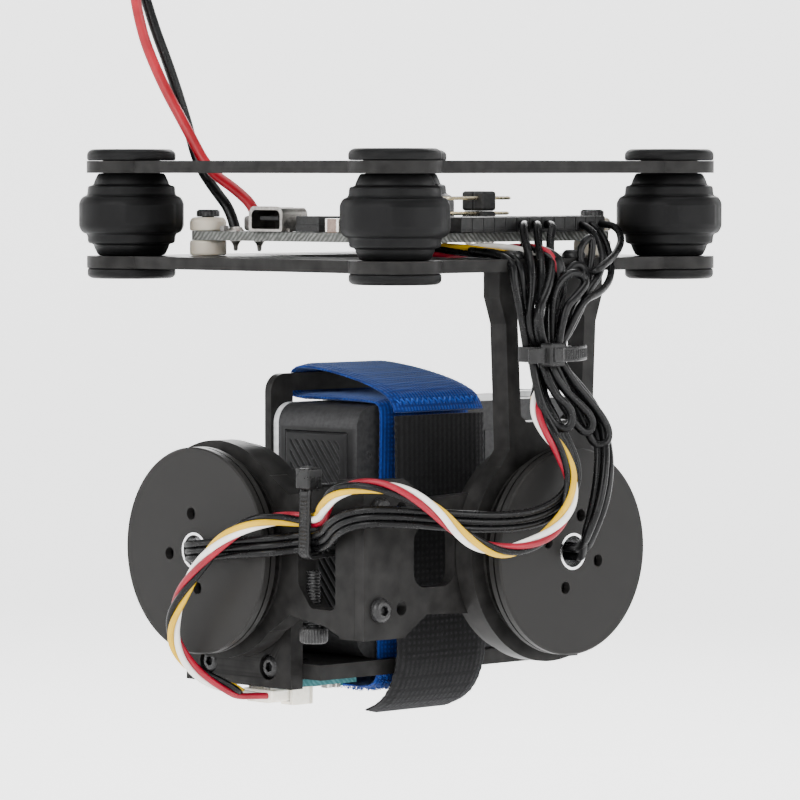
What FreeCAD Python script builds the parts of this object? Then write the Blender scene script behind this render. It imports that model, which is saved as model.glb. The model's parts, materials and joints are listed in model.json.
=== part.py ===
import FreeCAD, Part
import math
import os

from FreeCAD import Vector as V

# Two-axis brushless camera gimbal with a strapped-in action camera. Millimetres, +Z up, +Y forward.
# The origin is the centre of the top plate's upper face, which bolts to the aircraft.
# The roll axis runs along Y through X = 0, and the pitch axis along X; both lie at AXIS_Z.

AXIS_Z = -62.6
PITCH_Y = 3.2

PLATE_T = 2.0
PLATE_HALF = 36.0
LOBE_R = 7.4
ISOLATOR_XY = 31.5
ISOLATOR_HOLE_R = 4.5
TOP_OPENING_HALF = 27.0
BOTTOM_OPENING_HALF = 17.0
BOTTOM_TOP_Z = -15.7
BOTTOM_Z = BOTTOM_TOP_Z - PLATE_T

AIRCRAFT_HOLE_R = 1.6
AIRCRAFT_HOLE_Y = 15.0
STRAP_SLOT_X = 10.0
STRAP_SLOT_LENGTH = 14.0
STRAP_SLOT_R = 1.6
REAR_SLOT_Y = 23.0
REAR_SLOT_LENGTH = 22.0
REAR_SLOT_R = 2.0
THREAD_HOLE_R = 1.1

BOARD_HALF = 25.0
BOARD_T = 1.5
BOARD_Z = -13.1
BOARD_TOP_Z = BOARD_Z + BOARD_T
BOARD_HOLE_XY = 22.5
BOARD_HOLE_R = 1.6
BOARD_CORNER_R = 2.0
GROMMET_BORE_R = 1.15
GROMMET_R = 3.0
GROMMET_WAIST_R = 1.5
GROMMET_TOP_Z = -9.3
SCREW_HEAD_R = 1.9
SCREW_HEAD_H = 1.2
SCREW_HEX_R = 0.75

ARM_Y0 = -35.0
ARM_Y1 = -31.4
ARM_RING_R = 18.0

MOTOR_R = 16.65
MOTOR_SHAFT_R = 2.95
MOTOR_BORE_R = 2.55
MOTOR_HOLE_R = 1.0
MOTOR_HOLE_PCD = 12.0
MOTOR_DEPTH = 5.0
COVER_T = 1.3
RIM_BACK = 2.5
ROLL_FACE_Y = -40.0
PITCH_FACE_X = -42.9
ROLL_HOLE_TURN = 17.0
PITCH_HOLE_TURN = -7.0

ROLL_PLATE_Y0 = -31.1
ROLL_PLATE_Y1 = -29.0
PITCH_ARM_X0 = -37.9
PITCH_ARM_X1 = -34.1
HUB_X0 = -33.4
HUB_X1 = -28.5

CAMERA_LOW = (-20.0, -10.7, -80.7)
CAMERA_HIGH = (36.0, 9.2, -39.7)

GAP = 0.05
FIT = 0.04

os.makedirs("parts", exist_ok=True)


def save(name, *solids):
    """Write one node, one solid or a group of separate solids, to its own STEP file."""
    shape = solids[0] if len(solids) == 1 else Part.makeCompound(list(solids))
    shape.exportStep("parts/" + name + ".step")


def box(x0, x1, y0, y1, z0, z1):
    """A block between two opposite corners."""
    return Part.makeBox(x1 - x0, y1 - y0, z1 - z0, V(x0, y0, z0))


def rod(r, start, end):
    """A round bar from one point to another."""
    along = V(*end) - V(*start)
    return Part.makeCylinder(r, along.Length, V(*start), along)


def tube(r_out, r_in, start, end):
    """A round bar with a bore right through it."""
    return rod(r_out, start, end).cut(rod(r_in, start, end))


def outline(points, to_space, push):
    """A prism: the outline's (u, v) points placed in space by to_space, pushed along a vector."""
    corners = [to_space(u, v) for u, v in points]
    return Part.Face(Part.makePolygon(corners + corners[:1])).extrude(push)


def lathe(profile, centre, axis, to_space):
    """Turn a closed (radius, height) profile about an axis."""
    corners = [to_space(r, h) for r, h in profile]
    face = Part.Face(Part.makePolygon(corners + corners[:1]))
    return face.revolve(centre, axis, 360)


def round_edges(solid, r, direction, keep=lambda edge: True):
    """Round the solid's straight edges that run along a direction."""
    edges = []
    for edge in solid.Edges:
        if not isinstance(edge.Curve, Part.Line):
            continue
        run = edge.Vertexes[-1].Point - edge.Vertexes[0].Point
        if abs(run.normalize().dot(direction)) > 0.999 and keep(edge):
            edges.append(edge)
    return solid.makeFillet(r, edges)


def round_box(x0, x1, y0, y1, z0, z1, r, direction):
    """A block whose four edges along one direction are rounded."""
    return round_edges(box(x0, x1, y0, y1, z0, z1), r, direction)


X = V(1, 0, 0)
Y = V(0, 1, 0)
Z = V(0, 0, 1)
FOUR_CORNERS = [(1, 1), (-1, 1), (-1, -1), (1, -1)]


# --- Plates and rubber isolators -------------------------------------------------------------

def lobed_plate(z0, opening_half, opening_r):
    """A square frame with a round lobe at each corner, a central opening and isolator holes."""
    z1 = z0 + PLATE_T
    plate = box(-PLATE_HALF, PLATE_HALF, -PLATE_HALF, PLATE_HALF, z0, z1)
    lobes = [rod(LOBE_R, (a * ISOLATOR_XY, b * ISOLATOR_XY, z0), (a * ISOLATOR_XY, b * ISOLATOR_XY, z1))
             for a, b in FOUR_CORNERS]
    plate = plate.fuse(lobes).removeSplitter()
    cuts = [round_box(-opening_half, opening_half, -opening_half, opening_half, z0, z1, opening_r, Z)]
    for a, b in FOUR_CORNERS:
        cuts.append(rod(ISOLATOR_HOLE_R, (a * ISOLATOR_XY, b * ISOLATOR_XY, z0),
                        (a * ISOLATOR_XY, b * ISOLATOR_XY, z1)))
    return plate.cut(cuts)


def slot(x, y, length, r, z0, z1):
    """A round-ended slot cutter that runs along X."""
    half = length / 2 - r
    ends = [rod(r, (x + s * half, y, z0), (x + s * half, y, z1)) for s in (-1, 1)]
    return box(x - half, x + half, y - r, y + r, z0, z1).fuse(ends)


def top_plate():
    """The upper plate: four bolt holes to the aircraft and two strap slots front and rear."""
    plate = lobed_plate(-PLATE_T, TOP_OPENING_HALF, 4.0)
    for a, b in FOUR_CORNERS:
        at = (a * ISOLATOR_XY, b * AIRCRAFT_HOLE_Y)
        plate = plate.cut(rod(AIRCRAFT_HOLE_R, (at[0], at[1], -PLATE_T), (at[0], at[1], 0)))
        plate = plate.cut(slot(a * STRAP_SLOT_X, b * ISOLATOR_XY, STRAP_SLOT_LENGTH, STRAP_SLOT_R,
                               -PLATE_T, 0))
    return plate


ARM_SCREW_X = 7.0
ARM_MID_Y = (ARM_Y0 + ARM_Y1) / 2


def bottom_plate():
    """The lower plate: carries the controller board above and the roll arm below."""
    plate = lobed_plate(BOTTOM_Z, BOTTOM_OPENING_HALF, 6.0)
    for a, b in FOUR_CORNERS:
        at = (a * BOARD_HOLE_XY, b * BOARD_HOLE_XY)
        plate = plate.cut(rod(THREAD_HOLE_R, (at[0], at[1], BOTTOM_Z), (at[0], at[1], BOTTOM_TOP_Z)))
    for s in (-1, 1):
        plate = plate.cut(rod(THREAD_HOLE_R, (s * ARM_SCREW_X, ARM_MID_Y, BOTTOM_Z),
                              (s * ARM_SCREW_X, ARM_MID_Y, BOTTOM_TOP_Z)))
        plate = plate.cut(slot(0, s * REAR_SLOT_Y, REAR_SLOT_LENGTH, REAR_SLOT_R, BOTTOM_Z, BOTTOM_TOP_Z))
    return plate


BALL_BORE_R = 2.0
BALL_NECK_R = 4.45
BALL_SHOULDER_R = 5.6
BALL_COLLAR_R = 7.1
BALL_BAND_R = 8.65
BALL_CAP_R = 7.35
BALL_CAP_H = 2.0
BALL_EDGE = 0.4
COLLAR_TOP_Z = -4.0
BAND_TOP_Z = -5.9
BAND_LOW_Z = -11.9
COLLAR_LOW_Z = -13.75
CAP_LOW_Z = -19.5


def isolator(a, b):
    """One hollow rubber ball: caps outside both plates, necks in their holes, a fat middle band."""
    x, y = a * ISOLATOR_XY, b * ISOLATOR_XY
    neck, collar, band_r, cap = BALL_NECK_R, BALL_COLLAR_R, BALL_BAND_R, BALL_CAP_R
    shoulder, waist, edge = BALL_SHOULDER_R, BALL_SHOULDER_R + BALL_EDGE, BALL_EDGE
    top, low, under = -PLATE_T - GAP, BOTTOM_TOP_Z + GAP, BOTTOM_Z - GAP
    profile = [(BALL_BORE_R, BALL_CAP_H), (cap - edge, BALL_CAP_H), (cap, BALL_CAP_H - edge), (cap, GAP),
               (neck, GAP), (neck, top), (shoulder, top), (waist, COLLAR_TOP_Z), (collar, COLLAR_TOP_Z),
               (collar, BAND_TOP_Z), (band_r - edge, BAND_TOP_Z), (band_r, BAND_TOP_Z - 2 * edge),
               (band_r, BAND_LOW_Z + 2 * edge), (band_r - edge, BAND_LOW_Z), (collar, BAND_LOW_Z),
               (collar, COLLAR_LOW_Z), (waist, COLLAR_LOW_Z), (shoulder, low), (neck, low), (neck, under),
               (cap, under), (cap, CAP_LOW_Z + edge), (cap - edge, CAP_LOW_Z), (BALL_BORE_R, CAP_LOW_Z)]
    return lathe(profile, V(x, y, 0), Z, lambda r, h: V(x + r, y, h))


save("top_plate", top_plate())
save("bottom_plate", bottom_plate())
for name, (a, b) in zip(("front_right", "front_left", "rear_left", "rear_right"), FOUR_CORNERS):
    save("isolator_" + name, isolator(a, b))


# --- Controller board --------------------------------------------------------------------------

def screw_down(x, y, seat_z, end_z, head_r, head_h, shank_r, hex_r):
    """A vertical screw with its head above seat_z and a hexagon socket in the head."""
    solid = rod(head_r, (x, y, seat_z), (x, y, seat_z + head_h))
    solid = solid.makeChamfer(head_h / 3, [e for e in solid.Edges if e.CenterOfMass.z > seat_z + head_h * 0.9
                                           and not isinstance(e.Curve, Part.Line)])
    solid = solid.fuse(rod(shank_r, (x, y, end_z), (x, y, seat_z))).removeSplitter()
    return solid.cut(rod(hex_r, (x, y, seat_z + head_h / 2), (x, y, seat_z + head_h)))


def controller_board():
    """The square circuit board with a hole at each corner."""
    board = round_box(-BOARD_HALF, BOARD_HALF, -BOARD_HALF, BOARD_HALF, BOARD_Z, BOARD_TOP_Z,
                      BOARD_CORNER_R, Z)
    holes = [rod(BOARD_HOLE_R, (a * BOARD_HOLE_XY, b * BOARD_HOLE_XY, BOARD_Z),
                 (a * BOARD_HOLE_XY, b * BOARD_HOLE_XY, BOARD_TOP_Z)) for a, b in FOUR_CORNERS]
    return board.cut(holes)


def board_grommet(a, b):
    """A soft spool that holds one corner of the board off the bottom plate."""
    x, y = a * BOARD_HOLE_XY, b * BOARD_HOLE_XY
    low, high = BOARD_Z - GAP, BOARD_TOP_Z + GAP
    bore, flange, waist, foot = GROMMET_BORE_R, GROMMET_R, GROMMET_WAIST_R, BOTTOM_TOP_Z + GAP
    profile = [(bore, foot), (flange, foot), (flange, low), (waist, low), (waist, high), (flange, high),
               (flange, GROMMET_TOP_Z - 0.6), (flange - 0.4, GROMMET_TOP_Z), (bore, GROMMET_TOP_Z)]
    return lathe(profile, V(x, y, 0), Z, lambda r, h: V(x + r, y, h))


def chip(x0, x1, y0, y1, height):
    """A flat electronic component standing on the board."""
    return box(x0, x1, y0, y1, BOARD_TOP_Z + GAP, BOARD_TOP_Z + GAP + height)


USB = (-25.8, -20.0, 1.0, 8.6)
USB_TOP = BOARD_TOP_Z + 4.0
USB_WALL = 0.4


def usb_socket():
    """The steel shell of the mini USB socket, open to the left."""
    shell = box(USB[0], USB[1], USB[2], USB[3], BOARD_TOP_Z + GAP, USB_TOP)
    return shell.cut(box(USB[0], USB[1] - USB_WALL, USB[2] + USB_WALL, USB[3] - USB_WALL,
                         BOARD_TOP_Z + GAP + USB_WALL, USB_TOP - USB_WALL))


save("controller_board", controller_board())
save("board_grommets", *[board_grommet(a, b) for a, b in FOUR_CORNERS])
save("board_screws", *[screw_down(a * BOARD_HOLE_XY, b * BOARD_HOLE_XY, GROMMET_TOP_Z + GAP, BOTTOM_Z,
                                  SCREW_HEAD_R, SCREW_HEAD_H, THREAD_HOLE_R - GAP, SCREW_HEX_R)
                       for a, b in FOUR_CORNERS])
save("usb_socket", usb_socket(), box(-24.8, USB[1] - USB_WALL - GAP, 2.6, 7.0, -9.7, -9.0))
save("board_chips",
     chip(-8.0, 0.0, 4.0, 12.0, 1.0),
     chip(6.0, 13.0, 5.0, 12.0, 0.9),
     chip(-24.2, -19.0, -6.2, -0.6, 2.6),
     chip(8.0, 12.0, -8.0, -3.0, 1.4),
     chip(-7.0, -2.0, -9.0, -4.0, 0.9))
save("board_passives",
     round_box(-19.6, -13.6, 11.6, 17.2, BOARD_TOP_Z + GAP, BOARD_TOP_Z + 2.6, 0.8, Z),
     chip(-24.0, -21.0, -10.6, -7.4, 2.3),
     chip(-24.0, -21.0, -13.2, -11.0, 2.3),
     chip(-24.0, -21.8, -17.0, -14.2, 1.3))

HEADER = (1.9, 5.1, -17.6, -12.4)
HEADER_Z0 = BOARD_TOP_Z + GAP
HEADER_Z1 = -4.9
PIN_HALF = 0.32
PIN_X = (-5.0, 9.6)
PIN_Y = (-16.27, -13.73)
PIN_Z = (-8.6, -6.1)


def header_pins():
    """Two pairs of square pins that run right through the upright header."""
    pins = []
    for y in PIN_Y:
        for z in PIN_Z:
            pins.append(box(PIN_X[0], PIN_X[1], y - PIN_HALF, y + PIN_HALF, z - PIN_HALF, z + PIN_HALF))
    return pins


header = box(HEADER[0], HEADER[1], HEADER[2], HEADER[3], HEADER_Z0, HEADER_Z1)
save("pin_header", header.cut(header_pins()))
save("header_pins", *header_pins())

PLUG_Y0 = -28.6
PLUG_Y1 = -19.6
PLUG_Z0 = BOARD_TOP_Z + GAP
PLUG_Z1 = PLUG_Z0 + 2.55
ENTRY_HALF_W = 1.0
ENTRY_HALF_H = 0.9
ENTRY_DEPTH = 3.0
PLUG_SPANS = ((-14.0, -1.35), (-1.25, 7.25), (7.35, 12.3), (12.4, 19.3))
ROLL_WIRE_X = (0.4, 3.0, 5.6)
PITCH_WIRE_X = (13.7, 15.9, 18.1)


def plug(x0, x1, wires):
    """A black crimp housing lying on the board, with a wire entry for each wire."""
    body = box(x0, x1, PLUG_Y0, PLUG_Y1, PLUG_Z0, PLUG_Z1)
    middle = (PLUG_Z0 + PLUG_Z1) / 2
    for x in wires:
        body = body.cut(box(x - ENTRY_HALF_W, x + ENTRY_HALF_W, PLUG_Y0, PLUG_Y0 + ENTRY_DEPTH,
                            middle - ENTRY_HALF_H, middle + ENTRY_HALF_H))
    return body


save("plug_housings",
     plug(PLUG_SPANS[0][0], PLUG_SPANS[0][1], ()),
     plug(PLUG_SPANS[1][0], PLUG_SPANS[1][1], ROLL_WIRE_X),
     plug(PLUG_SPANS[2][0], PLUG_SPANS[2][1], ()),
     plug(PLUG_SPANS[3][0], PLUG_SPANS[3][1], PITCH_WIRE_X))


# --- Roll arm ------------------------------------------------------------------------------------

def in_xz(y):
    """Placer for outlines drawn in the X, Z plane at one Y."""
    return lambda u, v: V(u, y, v)


def in_yz(x):
    """Placer for outlines drawn in the Y, Z plane at one X."""
    return lambda u, v: V(x, u, v)


ARM_TOP_HALF = 11.8
ARM_WAIST_HALF = 9.4
ARM_FOOT_HALF = 12.6
ARM_WINDOW = [(6.2, -23.1), (7.7, -25.2), (6.9, -40.8), (5.6, -41.8)]
ARM_TAP_R = 0.85
ARM_TAP_Z = -23.0


def roll_arm():
    """The hanging arm: a windowed shank that flares into the round seat of the roll motor."""
    push = V(0, ARM_Y1 - ARM_Y0, 0)
    top = BOTTOM_Z - 0.02
    side = [(ARM_TOP_HALF, top), (ARM_TOP_HALF, -21.7), (10.3, -26.0), (ARM_WAIST_HALF, -46.2),
            (ARM_FOOT_HALF, -50.2), (ARM_FOOT_HALF, AXIS_Z)]
    shank = outline(side + [(-u, v) for u, v in reversed(side)], in_xz(ARM_Y0), push)
    disc = rod(ARM_RING_R, (0, ARM_Y0, AXIS_Z), (0, ARM_Y1, AXIS_Z))
    arm = shank.fuse(disc).removeSplitter()
    mirrored = [(-u, v) for u, v in reversed(ARM_WINDOW)]
    arm = arm.cut(outline(ARM_WINDOW + mirrored, in_xz(ARM_Y0), push))
    arm = arm.cut(rod(BEARING_OUT_R + FIT, (0, ARM_Y0, AXIS_Z), (0, ARM_Y1, AXIS_Z)))
    for s in (-1, 1):
        x = s * ARM_SCREW_X
        arm = arm.cut(rod(ARM_TAP_R, (x, ARM_MID_Y, ARM_TAP_Z), (x, ARM_MID_Y, top)))
    return arm


BEARING_OUT_R = 5.0

save("roll_arm", roll_arm())
save("arm_screws", *[screw_down(s * ARM_SCREW_X, ARM_MID_Y, BOTTOM_TOP_Z, ARM_TAP_Z + 1.0, SCREW_HEAD_R,
                                SCREW_HEAD_H, ARM_TAP_R - FIT, SCREW_HEX_R) for s in (-1, 1)])


# --- Motors --------------------------------------------------------------------------------------
# Both motors are the same. They are built with the face at height 0 and the depth going up +Z,
# then turned into place. The stator and its bearings sit on the arm's seat. The bell, its magnets
# and the hollow shaft turn, and the shaft carries the next frame behind the arm.

STATOR_R = 13.6
TOOTH_COUNT = 12
MAGNET_COUNT = 14
MAGNET_R0 = 14.0
MAGNET_R1 = 15.2
HUB_R = 6.2
STATOR_Z = (2.2, 3.4)
STATOR_YOKE_R = 9.0
TOOTH_HALF = 0.7
TOOTH_TIP_R = 12.6
TOOTH_TIP_HALF = 2.6
COIL_R = (9.3, 12.5)
COIL_HALF = 1.6
COIL_Z = (1.6, 4.4)
BEARING_T = 2.2
BEARING_Z = 1.8
SEAT_R = 15.4
SEAT_Z = 4.5
GROOVE_DEPTH = 0.35
GROOVE_W = 0.3
BELL_CHAMFER = 0.25


def motor_bell(hole_turn):
    """Cover disc with four holes, a thin groove line and a rim that hides the magnets."""
    bell = rod(MOTOR_R, (0, 0, 0), (0, 0, COVER_T)).fuse(
        [rod(MOTOR_R - GROOVE_DEPTH, (0, 0, COVER_T), (0, 0, COVER_T + GROOVE_W)),
         rod(MOTOR_R, (0, 0, COVER_T + GROOVE_W), (0, 0, RIM_BACK))])
    bell = bell.removeSplitter()
    bell = bell.cut(rod(MAGNET_R1 + FIT, (0, 0, COVER_T), (0, 0, RIM_BACK)))
    bell = bell.cut(rod(MOTOR_SHAFT_R + FIT, (0, 0, 0), (0, 0, COVER_T)))
    for turn in range(4):
        angle = math.radians(hole_turn + 90 * turn)
        at = (MOTOR_HOLE_PCD / 2 * math.cos(angle), MOTOR_HOLE_PCD / 2 * math.sin(angle))
        bell = bell.cut(rod(MOTOR_HOLE_R, (at[0], at[1], 0), (at[0], at[1], COVER_T)))
    front = [e for e in bell.Edges if e.BoundBox.ZMax < 0.01 and e.BoundBox.XLength > 2 * MOTOR_R - 1]
    return bell.makeChamfer(BELL_CHAMFER, front)


def motor_magnets():
    """A ring of flat magnets inside the rim."""
    ring = tube(MAGNET_R1, MAGNET_R0, (0, 0, COVER_T + GAP), (0, 0, RIM_BACK))
    step = 360.0 / MAGNET_COUNT
    magnets = []
    for turn in range(MAGNET_COUNT):
        wedge = Part.makeCylinder(MAGNET_R1 + 1, RIM_BACK, V(0, 0, 0), Z, step * 0.9)
        wedge.rotate(V(0, 0, 0), Z, step * turn)
        magnets.append(ring.common(wedge))
    return magnets


def motor_stator():
    """Twelve laminated teeth round a hub."""
    low, high = STATOR_Z
    stator = tube(STATOR_YOKE_R, HUB_R, (0, 0, low), (0, 0, high))
    for turn in range(TOOTH_COUNT):
        tooth = box(STATOR_YOKE_R - 0.5, TOOTH_TIP_R + 0.6, -TOOTH_HALF, TOOTH_HALF, low, high).fuse(
            box(TOOTH_TIP_R, STATOR_R - 0.2, -TOOTH_TIP_HALF, TOOTH_TIP_HALF, low, high))
        tooth.rotate(V(0, 0, 0), Z, 360.0 / TOOTH_COUNT * turn)
        stator = stator.fuse(tooth)
    return stator.removeSplitter()


def motor_coils():
    """A copper winding round each tooth."""
    coils = []
    for turn in range(TOOTH_COUNT):
        core = box(COIL_R[0], COIL_R[1], -TOOTH_HALF - GAP, TOOTH_HALF + GAP,
                   STATOR_Z[0] - GAP, STATOR_Z[1] + GAP)
        coil = box(COIL_R[0], COIL_R[1], -COIL_HALF, COIL_HALF, COIL_Z[0], COIL_Z[1]).cut(core)
        coil.rotate(V(0, 0, 0), Z, 360.0 / TOOTH_COUNT * turn)
        coils.append(coil)
    return coils


def motor_hub():
    """The fixed flanged sleeve that carries the stator and is glued to the arm's seat."""
    sleeve = tube(HUB_R - FIT, BEARING_OUT_R + FIT, (0, 0, 1.7), (0, 0, MOTOR_DEPTH - 0.5))
    flange = tube(SEAT_R, BEARING_OUT_R + FIT, (0, 0, SEAT_Z), (0, 0, MOTOR_DEPTH - 0.02))
    return sleeve.fuse(flange).removeSplitter()


def motor_bearings(depth):
    """Two ball bearings on the shaft: one in the motor's sleeve and one in the arm."""
    def bearing(z):
        return tube(BEARING_OUT_R, MOTOR_SHAFT_R + FIT, (0, 0, z), (0, 0, z + BEARING_T))
    return [bearing(BEARING_Z), bearing(depth - BEARING_T - 0.2)]


def motor_shaft(end):
    """The hollow steel shaft that the wires pass through."""
    return tube(MOTOR_SHAFT_R, MOTOR_BORE_R, (0, 0, 0), (0, 0, end))


def to_roll(solid):
    """Place a motor piece on the roll axis, its depth going forward."""
    solid = solid.copy()
    solid.rotate(V(0, 0, 0), X, -90)
    solid.translate(V(0, ROLL_FACE_Y, AXIS_Z))
    return solid


def to_pitch(solid):
    """Place a motor piece on the pitch axis, its depth going right."""
    solid = solid.copy()
    solid.rotate(V(0, 0, 0), Y, 90)
    solid.translate(V(PITCH_FACE_X, PITCH_Y, AXIS_Z))
    return solid


ROLL_SHAFT_END = ROLL_PLATE_Y1 - ROLL_FACE_Y + 0.4
PITCH_SHAFT_END = HUB_X1 - PITCH_FACE_X + 0.4
ROLL_SEAT_DEPTH = ARM_Y1 - ROLL_FACE_Y
PITCH_SEAT_DEPTH = PITCH_ARM_X1 - PITCH_FACE_X

for prefix, place, hole_turn, shaft_end, seat_depth in (
        ("roll_motor_", to_roll, ROLL_HOLE_TURN, ROLL_SHAFT_END, ROLL_SEAT_DEPTH),
        ("pitch_motor_", to_pitch, PITCH_HOLE_TURN, PITCH_SHAFT_END, PITCH_SEAT_DEPTH)):
    save(prefix + "bell", place(motor_bell(hole_turn)))
    save(prefix + "magnets", *[place(m) for m in motor_magnets()])
    save(prefix + "shaft", place(motor_shaft(shaft_end)))
    save(prefix + "stator", place(motor_stator()))
    save(prefix + "coils", *[place(c) for c in motor_coils()])
    save(prefix + "hub", place(motor_hub()))
    save(prefix + "bearings", *[place(b) for b in motor_bearings(seat_depth)])


# --- Bracket between the motors --------------------------------------------------------------------

SCREW_Z = 7.9
BRACKET_SCREW_X = -34.6
SPARE_HOLE_X = -29.7
SPARE_HOLE_R = 1.1
CLAMP_Y = -17.5
CLAMP_X = (PITCH_ARM_X0 + PITCH_ARM_X1) / 2 + 0.1
CLAMP_HEAD_R = 2.25
CLAMP_STEM_R = 1.15
BRACKET_HALF = 12.6
BRACKET_HEAD_R = 1.95
BRACKET_HEAD_H = 1.3
SOCKET_R = 0.7


def at_axis(v):
    """A height given from the motor axes."""
    return AXIS_Z + v


def roll_plate():
    """The plate behind the arm: a disc on the roll shaft with a windowed wing to the left corner."""
    push = V(0, ROLL_PLATE_Y1 - ROLL_PLATE_Y0, 0)
    upper = [(PITCH_ARM_X0, BRACKET_HALF), (-29.2, BRACKET_HALF), (-24.1, 9.2), (-14.0, 9.6), (-10.0, 13.4),
             (0, 16.8)]
    points = upper + [(u, -v) for u, v in reversed(upper)]
    plate = outline([(u, at_axis(v)) for u, v in points], in_xz(ROLL_PLATE_Y0), push)
    plate = plate.fuse(rod(17.2, (0, ROLL_PLATE_Y0, AXIS_Z), (0, ROLL_PLATE_Y1, AXIS_Z))).removeSplitter()
    window = [(-27.0, 4.9), (-18.0, 4.9), (-18.0, -4.9), (-27.0, -4.9)]
    cutter = outline([(u, at_axis(v)) for u, v in window], in_xz(ROLL_PLATE_Y0), push)
    plate = plate.cut(round_edges(cutter, 2.5, Y))
    cuts = [rod(MOTOR_SHAFT_R + FIT, (0, ROLL_PLATE_Y0, AXIS_Z), (0, ROLL_PLATE_Y1, AXIS_Z))]
    for s in (-1, 1):
        z = at_axis(s * SCREW_Z)
        cuts.append(rod(1.3, (BRACKET_SCREW_X, ROLL_PLATE_Y0, z), (BRACKET_SCREW_X, ROLL_PLATE_Y1, z)))
        cuts.append(rod(SPARE_HOLE_R, (SPARE_HOLE_X, ROLL_PLATE_Y0, z), (SPARE_HOLE_X, ROLL_PLATE_Y1, z)))
    return plate.cut(cuts)


def pitch_arm():
    """The plate on the left: a thick block at the corner, two arms and the pitch motor's seat."""
    push = V(PITCH_ARM_X1 - PITCH_ARM_X0, 0, 0)
    start = ROLL_PLATE_Y1 + 0.02
    upper = [(start, BRACKET_HALF), (-26.6, BRACKET_HALF), (-22.0, 10.8), (-14.0, 9.6), (-9.5, 12.4),
             (PITCH_Y, 16.8)]
    points = upper + [(u, -v) for u, v in reversed(upper)]
    arm = outline([(u, at_axis(v)) for u, v in points], in_yz(PITCH_ARM_X0), push)
    arm = arm.fuse(rod(17.6, (PITCH_ARM_X0, PITCH_Y, AXIS_Z), (PITCH_ARM_X1, PITCH_Y, AXIS_Z)))
    arm = arm.fuse(box(PITCH_ARM_X0, -31.9, start, -25.5, at_axis(-BRACKET_HALF), at_axis(BRACKET_HALF)))
    arm = arm.removeSplitter()
    window = [(-24.6, 4.6), (-16.0, 4.6), (-16.0, -4.4), (-19.0, -8.2), (-24.6, -8.2)]
    cutter = outline([(u, at_axis(v)) for u, v in window], in_yz(PITCH_ARM_X0), push)
    arm = arm.cut(round_edges(cutter, 1.2, X))
    cuts = [rod(BEARING_OUT_R + FIT, (PITCH_ARM_X0, PITCH_Y, AXIS_Z), (PITCH_ARM_X1, PITCH_Y, AXIS_Z)),
            rod(CLAMP_STEM_R + GAP, (CLAMP_X, CLAMP_Y, at_axis(-11.2)), (CLAMP_X, CLAMP_Y, at_axis(-2.0)))]
    for s in (-1, 1):
        z = at_axis(s * SCREW_Z)
        cuts.append(rod(1.0, (BRACKET_SCREW_X, start, z), (BRACKET_SCREW_X, start + 3.2, z)))
    return arm.cut(cuts)


def bracket_screw(z):
    """A button-head screw from behind into the pitch arm's block."""
    seat = ROLL_PLATE_Y0
    tip = seat - BRACKET_HEAD_H
    head = rod(BRACKET_HEAD_R, (BRACKET_SCREW_X, tip, z), (BRACKET_SCREW_X, seat, z))
    front = [e for e in head.Edges if e.BoundBox.YMax < tip + 0.01]
    head = head.makeFillet(0.8, front)
    head = head.fuse(rod(0.96, (BRACKET_SCREW_X, seat, z), (BRACKET_SCREW_X, seat + 5.0, z))).removeSplitter()
    return head.cut(rod(SOCKET_R, (BRACKET_SCREW_X, tip, z), (BRACKET_SCREW_X, tip + 0.8, z)))


def clamp_screw():
    """A knurled-head screw that comes up through the lower arm."""
    seat = (CLAMP_X, CLAMP_Y, at_axis(-11.3))
    head = rod(CLAMP_HEAD_R, (CLAMP_X, CLAMP_Y, at_axis(-13.9)), seat)
    return head.fuse(rod(CLAMP_STEM_R, seat, (CLAMP_X, CLAMP_Y, at_axis(-2.4)))).removeSplitter()


save("roll_plate", roll_plate())
save("pitch_arm", pitch_arm())
save("bracket_screws", *[bracket_screw(at_axis(s * SCREW_Z)) for s in (-1, 1)])
save("clamp_screw", clamp_screw())


# --- Camera tray -----------------------------------------------------------------------------------

LENS_X = 19.0
LENS_Z = AXIS_Z - 1.0
SHELF_Z0 = at_axis(-20.6)
SHELF_Z1 = CAMERA_LOW[2] - GAP
SHELF_X0 = -30.7
FRONT_Y0 = 9.3
FRONT_Y1 = 10.8
TRAY_SCREW_Y = 7.2
TRAY_SCREW_Z = at_axis(-18.9)
TRAY_SCREW_SEAT = HUB_X0 + 1.3
TRAY_HEAD_R = 1.9
FOOT_T = 2.6
HUB_DISC_R = 17.0
HUB_DISC_T = 2.0
HUB_BOSS_R = 7.0
SHELF_X1 = 28.6
TAB_X = (-20.5, 7.8)
TAB_TOP_Z = -35.0
LENS_WINDOW_R = 12.5
CAMERA_BOLT_R = 1.6


def hub_plate():
    """The disc on the pitch shaft, with a flange below that the tray screws to."""
    hub = rod(HUB_DISC_R, (HUB_X0, PITCH_Y, AXIS_Z), (HUB_X0 + HUB_DISC_T, PITCH_Y, AXIS_Z))
    hub = hub.fuse(rod(HUB_BOSS_R, (HUB_X0, PITCH_Y, AXIS_Z), (HUB_X1, PITCH_Y, AXIS_Z)))
    foot_top = at_axis(-10.0)
    foot = box(HUB_X0, HUB_X0 + FOOT_T, -9.4, 15.8, at_axis(-22.2), foot_top)
    hub = hub.fuse(foot).removeSplitter()
    cuts = [rod(MOTOR_SHAFT_R + FIT, (HUB_X0, PITCH_Y, AXIS_Z), (HUB_X1, PITCH_Y, AXIS_Z))]
    for s in (-1, 1):
        y = PITCH_Y + s * TRAY_SCREW_Y
        cuts.append(rod(1.2, (HUB_X0, y, TRAY_SCREW_Z), (HUB_X0 + FOOT_T, y, TRAY_SCREW_Z)))
        cuts.append(rod(TRAY_HEAD_R + 0.15, (HUB_X0, y, TRAY_SCREW_Z), (TRAY_SCREW_SEAT, y, TRAY_SCREW_Z)))
    return hub.cut(cuts)


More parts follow.
